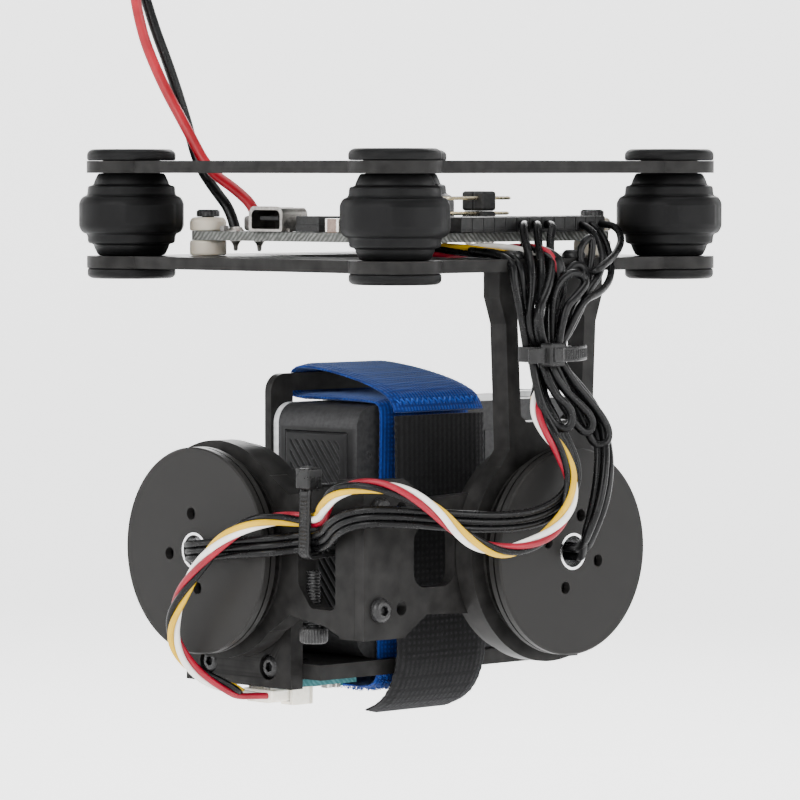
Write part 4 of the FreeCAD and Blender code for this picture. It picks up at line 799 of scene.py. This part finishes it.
SENSOR_UPPER = [(-12.4, -17, -14.4), (-8.6, -24, -14.5), (-3.4, -31, -14.4), (-1.6, -36.4, -14.8),
                (-1, -38, -17.6), (-1.6, -37.2, -22.6), (-3.4, -37.6, -27.6), (-4.4, -38.3, -31.6),
                (-6.4, -38.6, -36), (-9.6, -40.8, -39.6), (-9.8, -43.4, -42.8), (-7.8, -44.8, -46),
                (-6.7, -46.4, -50.7), (-8.9, -47.2, -56),
                (-14.3, -46.8, -60), (-22, -45.6, -61.5), (-29, -44.4, -58.6), (-33.8, -42.6, -53.8),
                (-37.4, -38.4, -51), (-40.6, -33.8, -50.4), (-42.4, -29.3, -51.6), (-42.2, -26.6, -54),
                (-39.5, -23, -56.4), (-39.4, -20.8, -56.6)]
SENSOR_LOWER = [(-39.4, -20.8, -56.6), (-39.6, -18.6, -56.6), (-43.4, -16.6, -56.4), (-46.4, -13.6, -57.2),
                (-48.1, -9, -60), (-48.6, -3.7, -64.8), (-48.3, 1.3, -70.4), (-47.2, 4, -75.3),
                (-45.2, 4, -79.3), (-43.2, 1.2, -82.6), (-38.6, -0.9, -84.9), (-34.6, -0.2, -86.3),
                (-31.4, 0, -86.4)]
TWIST = 27.0
TWIST_R = 0.66
STRAND_R = 0.54


def strands(name, route, first_turn, fan=False):
    """Four coloured strands twisted loosely together, which may spread out into a row at the far end."""
    line = line_of(route, 0.35)
    length = length_of(line) / MM
    made = []
    for k, colour in enumerate(("crimson_wire", "white_wire", "yellow_wire", "black_wire")):
        def place(s, k=k):
            turn = first_turn + 2 * math.pi * s * length / TWIST + k * math.pi / 2
            out = TWIST_R * (1.0 + 0.12 * math.sin(9.0 * s + 1.7 * k))
            return out * math.cos(turn), out * math.sin(turn)
        twisted = offset_line(line, place)
        if fan:
            for n, point in enumerate(twisted):
                share = max(0, (n / (len(twisted) - 1) - 0.88) / 0.10)
                share = min(1, share) ** 2 * (3 - 2 * min(1, share))
                twisted[n] = point.lerp(line[n] + mm(0, 1.5 * (k - 1.5), 0), share)
        bm = bmesh.new()
        tube(bm, twisted, STRAND_R, 10)
        made.append(from_bmesh(name + "_" + colour.split("_")[0], bm, colour))
    return made


upper = strands("sensor_upper", SENSOR_UPPER, 0.4)
upper_length = length_of(line_of(SENSOR_UPPER)) / MM
lower = strands("sensor_lower", SENSOR_LOWER, 0.4 + 2 * math.pi * upper_length / TWIST, True)
for made, ends, start, end, node_name in (
        (upper, ("isolated_frame", "roll_frame"), (-6, -43, -40), (-40, -25, -55), "sensor_cable_upper"),
        (lower, ("roll_frame", "camera_cradle"), (-41, -18, -57), (-44, 1, -82), "sensor_cable_lower")):
    for strand in made:
        bend(strand, *ends, start, end, "signal_wire", *([node_name] if strand == made[0] else []))


# --- Cable ties --------------------------------------------------------------------------------------------

def belt(bm, line, across, half_width, thickness, ridge=0.12, closed=True):
    """A toothed flat band along a line; across is the direction of its width."""
    across = Vector(across).normalized()
    rings = []
    count = len(line)
    for n, point in enumerate(line):
        ahead = line[(n + 1) % count] if closed else line[min(n + 1, count - 1)]
        behind = line[n - 1] if closed else line[max(n - 1, 0)]
        out = (ahead - behind).normalized().cross(across).normalized()
        high = thickness + (ridge if n % 2 else 0)
        rings.append([point + across * (u * half_width * MM) + out * (v * MM) for u, v in
                      ((-1, 0), (-1, thickness * 0.8), (-0.86, thickness), (-0.6, thickness), (-0.55, high),
                       (0.55, high), (0.6, thickness), (0.86, thickness), (1, thickness * 0.8), (1, 0))])
    if closed:
        rings.append(rings[0])
    loft(bm, rings, not closed)
    bmesh.ops.remove_doubles(bm, verts=bm.verts, dist=0.5e-6)


def loop_line(corners, back, step=0.32):
    """Points round a closed loop of rounded corners."""
    smooth = [mm(*p) for p in rounded(corners, back, 6)]
    line = []
    for a, b in zip(smooth, smooth[1:] + smooth[:1]):
        count = max(1, round((b - a).length / (step * MM)))
        line += [a.lerp(b, k / count) for k in range(count)]
    return line


harness_tie = bmesh.new()
belt(harness_tie, loop_line([(-10.7, -40.6, -30.75), (-10.7, -37.2, -30.75), (-0.9, -37.2, -30.75),
                             (-0.9, -41.2, -30.75), (-9.2, -42.2, -30.75)], 1.8), (0, 0, 1), 1.2, 0.7)
soft_box(harness_tie, (-9.5, -44.3, -32.6), (-6.3, -41.7, -28.9), 0.35, 3)
soft_box(harness_tie, (-8.9, -44.6, -31.9), (-6.9, -43.9, -29.6), 0.2)
belt(harness_tie, line_of([(-6.4, -43.2, -30.75), (-4, -43.1, -30.75), (-1.4, -42.7, -30.7),
                           (0.6, -41.6, -30.6)], 0.3), (0, 0, 1), 1.2, 0.6, 0.12, False)
belt(harness_tie, line_of([(-9.4, -43.1, -30.8), (-10.8, -42.8, -30.9), (-12.2, -42, -31)], 0.3), (0, 0, 1),
     1.15, 0.6, 0.12, False)
piece("tie_harness", harness_tie, "tie_plastic", "isolated_frame", "harness_tie", slot_name="black_plastic")

bracket_tie = bmesh.new()
belt(bracket_tie, loop_line([(-41, -21.3, -51.4), (-33.9, -21.3, -51.4), (-33.9, -20.5, -62),
                             (-40.6, -20.5, -62.3)], 1), (0, 1, 0), 1.2, 0.45, 0.1)
soft_box(bracket_tie, (-42, -22.9, -51.6), (-39, -19.7, -48.3), 0.35, 3)
soft_box(bracket_tie, (-41.3, -22.3, -48.7), (-39.7, -20.3, -48), 0.2)
piece("tie_bracket", bracket_tie, "tie_plastic", "roll_frame", "bracket_tie", slot_name="black_plastic")


# --- Camera strap ------------------------------------------------------------------------------------------

STRAP_X0 = -15.0
STRAP_X1 = 5.0
STRAP_LINE = [(-15.6, -40.6), (-14.8, -38.4), (-11, -36.7), (-4, -35.2), (4, -34.1), (9.8, -33.8),
              (11.8, -34.8), (12.5, -36.4), (12.1, -38.2), (11, -39), (9, -38.9), (-10, -38.9),
              (-12, -39.5), (-12.3, -41.6), (-11.8, -60), (-11.5, -79), (-11.5, -84), (-9.4, -85.7),
              (0, -85.7), (9, -85)]
HOOK_LINE = [(-15.7, -41.2), (-15.9, -55), (-16.1, -70), (-16.4, -79.8), (-15.4, -83.6), (-13.6, -86.6),
             (-11, -88.6), (-8.4, -89.4)]


def strap_shift(y):
    """The tape runs a little askew: its rear is further left than its front."""
    return 1.3 * max(-1, min(1, y / 12))


TAPE_STEP = 0.22
TAPE_THREADS = 64


def outward(along):
    """The direction out of the tape's face, where it runs along the given way in the Y, Z plane."""
    return Vector((0, -along.z, along.y))


def woven_band(name, line_yz, half, material, weave, height, ragged):
    """A woven tape along a line in the Y, Z plane: threads across its width and along it, and soft edges."""
    line = line_of([(0, y, z) for y, z in line_yz], TAPE_STEP)
    rng = random.Random(7)
    uneven = [rng.uniform(-ragged, ragged) for _ in line]
    travelled = 0.0
    rings = []
    for n, point in enumerate(line):
        ahead, behind = line[min(n + 1, len(line) - 1)], line[max(n - 1, 0)]
        out = outward((ahead - behind).normalized())
        if n:
            travelled += (point - line[n - 1]).length / MM
        left = STRAP_X0 + strap_shift(point.y / MM) + uneven[n]
        right = STRAP_X1 + strap_shift(point.y / MM) - uneven[-n]
        top, bottom = [], []
        for k in range(TAPE_THREADS + 1):
            u = k / TAPE_THREADS
            place = Vector(((left + (right - left) * u) * MM, point.y, point.z))
            taper = min(1, 0.45 + 5.0 * min(u, 1.0 - u))
            rib = math.sin(2 * math.pi * travelled / weave + (math.pi if k % 2 else 0))
            lift = half * taper - height + height * (0.5 + 0.5 * rib) * taper
            top.append(place + out * (lift * MM))
            bottom.append(place - out * (lift * MM))
        rings.append(top + bottom[::-1])
    bm = bmesh.new()
    loft(bm, rings)
    return from_bmesh(name, bm, material), line


tape, tape_line = woven_band("strap_tape", STRAP_LINE, 0.55, "blue_strap", 1.25, 0.16, 0.05)
settle(tape, "camera_cradle", "blue_strap", "strap")
hook, hook_line = woven_band("strap_hook_band", HOOK_LINE, 0.72, "black_strap", 1.5, 0.26, 0.07)
settle(hook, "camera_cradle", "black_strap", "strap_hook")


def stitching(line, start, stop, height):
    """A row of zig-zag thread across the tape, between two distances from its start."""
    bm = bmesh.new()
    points = []
    teeth = 30
    margin = 0.7
    for n in range(teeth + 1):
        spot = round((start if n % 2 else stop) / TAPE_STEP)
        point = line[spot]
        out = outward((line[spot + 1] - point).normalized())
        x = STRAP_X0 + margin + (STRAP_X1 - STRAP_X0 - 2 * margin) * n / teeth + strap_shift(point.y / MM)
        points.append(Vector((x * MM, point.y, point.z)) + out * (height * MM))
    for a, b in zip(points, points[1:]):
        tube(bm, [a.lerp(b, k / 6) + Vector((0, 0, 0.06 * MM * math.sin(math.pi * k / 6))) for k in range(7)],
             0.11, 6)
    return bm


def pile(line, start, stop, count, height):
    """Short loops of fibre standing on the tape's inner face, between two distances from its start."""
    bm = bmesh.new()
    rng = random.Random(19)
    for _ in range(count):
        spot = rng.uniform(start, stop)
        n = min(len(line) - 2, round(spot / TAPE_STEP))
        along = (line[n + 1] - line[n]).normalized()
        out = -outward(along)
        x = rng.uniform(STRAP_X0 + 0.1, STRAP_X1 - 0.1) + strap_shift(line[n].y / MM)
        base = Vector((x * MM, line[n].y, line[n].z)) + out * (height * MM)
        lean = Vector((rng.uniform(-1, 1), 0, 0)) * (0.25 * MM) + along * (rng.uniform(-1, 1) * 0.25 * MM)
        high = rng.uniform(0.25, 0.55) * MM
        tube(bm, [base, base + out * high * 0.7 + lean * 0.4, base + out * high + lean,
                  base + out * high * 0.4 + lean * 2], 0.055, 4)
    return bm


tape_stitches = piece("strap_stitches", stitching(tape_line, 1, 2, 0.56), "blue_pile", "camera_cradle",
                      slot_name="blue_strap", smooth=True)
tape_length = length_of(tape_line) / MM
tape_pile = piece("strap_pile", pile(tape_line, tape_length - 24, tape_length - 0.5, 1500, 0.38), "blue_pile",
                  "camera_cradle", slot_name="blue_strap", smooth=True)


# --- Camera ------------------------------------------------------------------------------------------------

def frac(value):
    return value - math.floor(value)


def grooved_door():
    """The side door: slanting grooves inside a plain border, with rounded edges."""
    y0, y1, z0, z1 = -8.25, 6.25, -75.85, -44.15
    across, down = 150, 320
    lean_y, lean_z = 0.77, -0.64
    pitch, depth = 1.2, 0.32
    bm = bmesh.new()
    grid = []
    for j in range(down + 1):
        z = z0 + (z1 - z0) * j / down
        row = []
        for i in range(across + 1):
            y = y0 + (y1 - y0) * i / across
            rim = min(y - y0, y1 - y, z - z0, z1 - z)
            sunk = 0.35 * (1.0 - min(1, rim / 0.5)) ** 2
            phase = frac((y * lean_y + z * lean_z) / pitch)
            if rim > 1.3:
                cut = max(0, 1.0 - abs(phase - 0.5) / 0.24)
                sunk += depth * min(1, 2.2 * cut) * min(1, (rim - 1.3) / 0.25)
            row.append(bm.verts.new(mm(-20.34 + sunk, y, z)))
        grid.append(row)
    for a, b in zip(grid, grid[1:]):
        for i in range(across):
            bm.faces.new((a[i], a[i + 1], b[i + 1], b[i]))
    edge = grid[0] + [row[-1] for row in grid[1:]] + grid[-1][-2::-1] + [row[0] for row in grid[-2:0:-1]]
    back = [bm.verts.new(Vector((-18.76 * MM, v.co.y, v.co.z))) for v in edge]
    for i, v in enumerate(edge):
        j = (i + 1) % len(edge)
        bm.faces.new((v, back[i], back[j], edge[j]))
    bm.faces.new(back)
    return from_bmesh("door_grooved", bm, "camera_case")


settle(grooved_door(), "camera_cradle", "camera_case", "camera_door")

details = bmesh.new()
turned(details, (-17.4, -10.68, -47.6), (0, -1, 0), [(0.62, -0.2), (0.62, 0.06), (0.55, 0.1), (0.36, 0.1),
                                                     (0.34, -0.12), (0.1, -0.12)], 32)
soft_box(details, (-18.5, -10.8, -52.7), (-16.6, -10.5, -51.2), 0.14)
soft_box(details, (-18.3, -10.85, -52.3), (-16.8, -10.7, -52), 0.06)
for n in range(9):
    soft_box(details, (10.0 + 1.5 * n, -10.82, -74), (10.7 + 1.5 * n, -10.5, -68), 0.12)
soft_box(details, (9, -10.85, -62), (33, -10.5, -44.5), 0.3)
piece("camera_details", details, "camera_case", "camera_cradle")

LENS = (19, -63.6)
rings = bmesh.new()
for r, y, wall in ((9.05, 14.6, 0.25), (9.05, 12.2, 0.18), (7.4, 16.3, 0.3)):
    lathe(rings, rounded([(r - wall, y), (r + 0.08, y), (r + 0.08, y + 0.5), (r - wall, y + 0.5)], 0.08), "Y",
          LENS, 96)
knurls = bmesh.new()
lathe(knurls, rounded([(6.3, 10), (9.12, 10), (9.12, 12), (6.3, 12)], 0.15), "Y", LENS, 180,
      lambda angle, r, h: 0.06 * math.cos(60 * angle) if r > 9.0 else 0)
piece("lens_rings", rings, "camera_case", "camera_cradle", smooth=True)
piece("lens_knurl", knurls, "camera_case", "camera_cradle", smooth=True)

glass = bmesh.new()
dome = [(6.28, 14.45), (6.28, 15.2), (5.4, 15.55), (4.2, 15.85), (2.8, 16.08), (1.4, 16.2), (0, 16.24),
        (0, 14.45)]
lathe(glass, dome, "Y", LENS, 96)
piece("lens_dome", glass, "lens_glass", "camera_cradle", "lens_glass", smooth=True)

button = bmesh.new()
turned(button, (27, -0.5, -38.8), (0, 0, 1), [(3.9, -1.6), (4, -1.4), (4, -0.35), (3.85, -0.1), (3.55, 0),
                                                 (3.3, 0), (3.2, -0.12), (1.5, -0.2), (0.4, -0.22)], 72)
piece("button_cap", button, "camera_front", "shutter", "shutter_button", slot_name=slot_of["shutter_button"],
      smooth=True)


# --- Screws ------------------------------------------------------------------------------------------------

AXIS_Z = -62.6
CORNERS = ((1, 1), (-1, 1), (-1, -1), (1, -1))
BOARD_HOLE = 22.5
SCREWS = (
    ("screws_bracket", "roll_frame", "bracket_screws", button_screw, (0, -1, 0),
     [(-34.6, -31.1, AXIS_Z + s * 7.9) for s in (-1, 1)], (1.95, 1.3, 0.85, 0.8, 0.94, 5)),
    ("screws_tray", "camera_cradle", "tray_screws", button_screw, (-1, 0, 0),
     [(-32.1, 3.2 + s * 7.2, -81.5) for s in (-1, 1)], (1.88, 1.2, 0.8, 0.75, 0.88, 5.6)),
    ("screws_board", "isolated_frame", "board_screws", cap_screw, (0, 0, 1),
     [(BOARD_HOLE * a, BOARD_HOLE * b, -9.25) for a, b in CORNERS], (1.9, 1.2, 0.8, 0.7, 1.02, 8.4)),
    ("screws_arm", "isolated_frame", "arm_screws", button_screw, (0, 0, 1),
     [(7.0 * s, -33.2, -15.7) for s in (-1, 1)], (1.9, 1.3, 0.85, 0.7, 0.8, 6.3)))
for name, body, node_name, make_screw, out, seats, sizes in SCREWS:
    bm = bmesh.new()
    for seat in seats:
        make_screw(bm, seat, out, *sizes)
    piece(name, bm, "black_screw", body, node_name)


CLAMP = (-35.9, -17.5)


def clamp_mesh():
    """The clamp's threaded stem and its knurled wheel."""
    bm = bmesh.new()
    rings = []
    sides, pitch, stem = 40, 0.5, 8.9
    steps = round(stem / 0.08)
    for n in range(steps + 1):
        z = -73.9 + stem * n / steps
        ring = []
        for k in range(sides):
            a = 2 * math.pi * k / sides
            phase = frac(z / pitch - k / sides)
            deep = 0.24 * abs(2 * phase - 1)
            r = (1.14 - deep) * (0.72 if n == steps else 1)
            ring.append(mm(CLAMP[0] + r * math.cos(a), CLAMP[1] + r * math.sin(a), z))
        rings.append(ring)
    loft(bm, rings)
    wheel = lambda a: 2.2 + 0.07 * math.cos(28 * a)
    turned(bm, (*CLAMP, -76.5), (0, 0, 1), [(1.2, 0), (1.9, 0), (2.08, 0.15), (wheel, 0.35), (wheel, 2.15),
                                            (2.08, 2.4), (1.7, 2.55), (1.25, 2.62)], 112)
    return from_bmesh("clamp_thumb_screw", bm, "black_screw")


settle(clamp_mesh(), "roll_frame", "black_screw", "clamp_screw")


# --- Controller board details ------------------------------------------------------------------------------

BOARD_TOP = -11.6
BOARD_LOW = -13.1
PIN_PITCH = 2.54

spools = bmesh.new()
SPOOL = [(1.15, -15.62), (2.9, -15.62), (3.05, -15.3), (3.05, -13.4), (2.9, -13.15), (1.5, -13.15),
         (1.5, -11.55), (2.9, -11.55), (3.05, -11.3), (3.05, -10), (2.75, -9.5), (2.4, -9.32), (1.15, -9.32)]
for a, b in CORNERS:
    lathe(spools, rounded(SPOOL, 0.18), "Z", (BOARD_HOLE * a, BOARD_HOLE * b), 64)
piece("board_spools", spools, "nylon", "isolated_frame", "board_grommets", smooth=True)

shell = bmesh.new()
outer = rounded([(1, -11.5), (8.6, -11.5), (8.6, -8.4), (7.9, -7.6), (1.7, -7.6), (1, -8.4)], 0.4)
inner = rounded([(1.4, -11.1), (8.2, -11.1), (8.2, -8.5), (7.6, -8), (2, -8), (1.4, -8.5)], 0.35)
flare = rounded([(0.8, -11.5), (8.8, -11.5), (8.8, -8.3), (8, -7.4), (1.6, -7.4), (0.8, -8.3)], 0.4)
loft(shell, [[mm(x, y, z) for y, z in shape] for shape, x in
             ((outer, -20), (outer, -25.4), (flare, -25.75), (flare, -25.85), (inner, -25.8), (inner, -25.4),
              (inner, -20.6))])
for y in (2.6, 5.6):
    soft_box(shell, (-24.4, y, -7.66), (-21.6, y + 1.3, -7.52), 0.05)
for x in (-24.6, -21.2):
    for y in (0.4, 8.5):
        soft_box(shell, (x, y, -11.56), (x + 1, y + 0.7, -11), 0.1)
piece("usb_shell", shell, "shell_steel", "isolated_frame", "usb_socket", slot_name=slot_of["usb_socket"])
tongue = bmesh.new()
soft_box(tongue, (-25, 2.6, -9.7), (-20.65, 7, -9), 0.1)
piece("usb_tongue", tongue, "black_plastic", "isolated_frame")

solder = bmesh.new()
SOLDER_TAIL = [(0.95, 0), (0.9, 0.15), (0.6, 0.5), (0.42, 0.9), (0.36, 1.5), (0.2, 1.75)]
for x, y in ((-22.4, 10), (-22.4, 15.8), (2.4, -16.3), (2.4, -13.7), (4.6, -16.3), (4.6, -13.7)):
    turned(solder, (x, y, BOARD_LOW + 0.02), (0, 0, -1), SOLDER_TAIL, 24)
SHORT_TAIL = [(r * 0.7, h * 0.4) for r, h in SOLDER_TAIL]
for n in (0, 1, 4, 5, 8):
    turned(solder, (-12.6 + PIN_PITCH * n, -20.8, BOARD_LOW + 0.02), (0, 0, -1), SHORT_TAIL, 20)
for x, y in ((-22.4, 10), (-22.4, 15.8)):
    turned(solder, (x, y, BOARD_TOP), (0, 0, 1), [(1.5, 0), (1.45, 0.1), (1.2, 0.35), (1, 0.7), (0.93, 0.75)],
           32)
piece("solder_joints", solder, "tinned", "isolated_frame", smooth=True)


CHIPS = (((-8, 4), (0, 12), 1, (0, 1), 12), ((6, 5), (13, 12), 0.9, (0, 1), 10),
         ((-24.2, -6.2), (-19, -0.6), 2.6, (), 0), ((8, -8), (12, -3), 1.4, (0,), 5),
         ((-7, -9), (-2, -4), 0.9, (1,), 6))


def legs(bm, low, high, count, out):
    """Rows of bent legs out of the two sides of a chip that face along an axis, 0 for X and 1 for Y."""
    row = 1 - out
    for n in range(count):
        middle = low[row] + (high[row] - low[row]) * ((n + 0.5) / count)
        for side, s in ((low[out], -1), (high[out], 1)):
            for reach, z0, z1 in ((0.7, 0.02, 0.2), (0.3, 0.1, 0.5)):
                a, b = [0, 0, BOARD_TOP + z0], [0, 0, BOARD_TOP + z1]
                a[row], b[row] = middle - 0.15, middle + 0.15
                a[out], b[out] = sorted((side, side + s * reach))
                soft_box(bm, a, b, 0.05, 1)


leads = bmesh.new()
for low, high, _, sides, count in CHIPS:
    for out in sides:
        legs(leads, low, high, count, out)
piece("chip_legs", leads, "tinned", "isolated_frame")


def two_ended(bodies, ends, low, high, axis):
    """A surface-mounted part with a metal cap at each end."""
    cap = 0.22 * (high[axis] - low[axis])
    inner_low, inner_high = list(low), list(high)
    inner_low[axis] += cap * 0.6
    inner_high[axis] -= cap * 0.6
    inner_high[2] -= 0.04
    soft_box(bodies, inner_low, inner_high, 0.1)
    for side in (0, 1):
        cap_low, cap_high = list(low), list(high)
        if side:
            cap_low[axis] = high[axis] - cap
        else:
            cap_high[axis] = low[axis] + cap
        soft_box(ends, cap_low, cap_high, 0.12)


grey_parts, brown_parts, ends = bmesh.new(), bmesh.new(), bmesh.new()
two_ended(brown_parts, ends, (-24, -10.6, BOARD_TOP), (-21, -7.4, BOARD_TOP + 2.3), 1)
two_ended(grey_parts, ends, (-24, -13.2, BOARD_TOP), (-21, -11, BOARD_TOP + 2.3), 0)
two_ended(grey_parts, ends, (-24, -17, BOARD_TOP), (-21.8, -14.2, BOARD_TOP + 1.3), 1)
two_ended(brown_parts, ends, (-17.6, -6, BOARD_TOP), (-15.8, -2.8, BOARD_TOP + 1.2), 1)
scatter = random.Random(31)
SMD_ROWS = (-17.6, -11, -1.4, 1.6, 13.6, 15.2, 18.2)
for _ in range(34):
    x = scatter.uniform(-19, 21)
    y = scatter.choice(SMD_ROWS) + scatter.uniform(-0.4, 0.4)
    if -3.0 < x < 11.0 and -19.0 < y < -10.0:
        continue
    w, d, h = scatter.choice(((1.6, 0.8, 0.5), (1, 0.5, 0.4), (2, 1.25, 0.9)))
    axis = scatter.choice((0, 1))
    if axis:
        w, d = d, w
    two_ended(scatter.choice((grey_parts, brown_parts)), ends, (x, y, BOARD_TOP),
              (x + w, y + d, BOARD_TOP + h), axis)
soft_box(grey_parts, (-19.6, 11.6, BOARD_TOP + 0.05), (-13.6, 17.2, BOARD_TOP + 2.55), 0.6, 3)
soft_box(grey_parts, (-23.8, 17.2, BOARD_TOP), (-22.6, 18.2, BOARD_TOP + 0.9), 0.15)
piece("smd_grey", grey_parts, "passive", "isolated_frame", "board_passives")
piece("smd_brown", brown_parts, "brown_ceramic", "isolated_frame", slot_name="passive")
piece("smd_ends", ends, "tinned", "isolated_frame")

chips = bmesh.new()
for low, high, h, _, _ in CHIPS:
    lid = BOARD_TOP + h + 0.04
    soft_box(chips, (*low, BOARD_TOP + 0.08), (*high, BOARD_TOP + h * 0.5), 0.08)
    soft_box(chips, (low[0] + 0.06, low[1] + 0.06, BOARD_TOP + h * 0.45),
             (high[0] - 0.06, high[1] - 0.06, lid), 0.16)
    turned(chips, (low[0] + 0.9, low[1] + 0.9, lid), (0, 0, 1),
           [(0.36, -0.02), (0.33, 0.03), (0.22, 0.03), (0.2, 0), (0.05, 0)], 24)
piece("chip_packages", chips, "chip", "isolated_frame", "board_chips")

block, pins = bmesh.new(), bmesh.new()
for n in range(2):
    y0 = -17.6 + 2.6 * n
    for k in range(2):
        z0 = -11.5 + 3.3 * k
        soft_box(block, (1.95, y0 + 0.04, z0), (5.05, y0 + 2.56, z0 + 3.26), 0.45)
for y in (-16.27, -13.73):
    for z, tip in ((-8.6, 9.2), (-6.1, 9.6)):
        tube(pins, [mm(x, y, z) for x in (-5, -4.8, 2.2, 4.8, tip - 0.4, tip)],
             lambda s: 0.28 if 0.02 < s < 0.98 else 0.14, 4)
piece("header_block", block, "black_plastic", "isolated_frame", "pin_header")
piece("header_posts", pins, "gold_pin", "isolated_frame", "header_pins")

housings, contacts = bmesh.new(), bmesh.new()
for x0, x1, ways in ((-14, -1.35, 5), (-1.25, 7.25, 3), (7.35, 12.3, 2), (12.4, 19.3, 3)):
    step = (x1 - x0) / ways
    for n in range(ways):
        left, right = x0 + step * n, x0 + step * (n + 1)
        soft_box(housings, (left + 0.02, -28.55, -11.5), (right - 0.02, -19.65, -9.05), 0.16)
        middle = (left + right) / 2
        soft_box(housings, (middle - 0.55, -25.6, -9.3), (middle + 0.55, -22.2, -8.98), 0.08)
        soft_box(housings, (left + 0.3, -28.62, -11.2), (right - 0.3, -28.3, -10.9), 0.08)
        soft_box(contacts, (middle - 0.3, -24.6, -9.02), (middle + 0.3, -23.2, -8.96), 0.02, 1)
        soft_box(contacts, (middle - 0.25, -19.8, -10.6), (middle + 0.25, -18.9, -10.1), 0.06, 1)
        soft_box(contacts, (middle - 0.25, -19.2, -11.55), (middle + 0.25, -18.7, -10.1), 0.06, 1)
piece("crimp_housings", housings, "black_plastic", "isolated_frame", "plug_housings")
piece("crimp_contacts", contacts, "tinned", "isolated_frame")


# --- Tilt sensor details ----------------------------------------------------------------------------------

SENSOR_LOW = -84.7
socket, plug, sensor_parts, sensor_ends = bmesh.new(), bmesh.new(), bmesh.new(), bmesh.new()
soft_box(socket, (-25, -4.6, -88.05), (-24, 4.6, -84.8), 0.15)
for y0, y1, z0, z1, r in ((-4.6, -3.75, -88.05, -84.8, 0.15), (3.75, 4.6, -88.05, -84.8, 0.15),
                          (-4.2, 4.2, -85.35, -84.8, 0.12), (-4.2, -1.6, -88.05, -87.45, 0.12),
                          (1.6, 4.2, -88.05, -87.45, 0.12)):
    soft_box(socket, (-28.5, y0, z0), (-24.2, y1, z1), r)
soft_box(plug, (-32.2, -3.6, -87.35), (-25.1, 3.6, -85.45), 0.25)
soft_box(plug, (-32.1, -2.6, -87.6), (-28.8, 2.6, -87.2), 0.2)
for n in range(4):
    y = -2.25 + 1.5 * n
    for edge in (y - 0.5, y + 0.28):
        soft_box(plug, (-31.6, edge, -85.6), (-28.9, edge + 0.22, -85.1), 0.08)
piece("sensor_socket_shell", socket, "white_plastic", "camera_cradle", "sensor_socket")
piece("sensor_plug_body", plug, "white_plastic", "camera_cradle", "sensor_plug")
for x, y in ((-21, -6.8), (-21, 6), (-23.6, 6.2), (-22.6, -6.6), (-19.6, 6.6)):
    two_ended(sensor_parts, sensor_ends, (x, y, SENSOR_LOW - 0.85), (x + 1, y + 1.8, SENSOR_LOW + 0.02), 1)
soft_box(sensor_parts, (-21.6, -1.8, SENSOR_LOW - 0.95), (-18.6, 1.2, SENSOR_LOW + 0.02), 0.12)
piece("sensor_smd", sensor_parts, "passive", "camera_cradle")
piece("sensor_smd_ends", sensor_ends, "tinned", "camera_cradle")
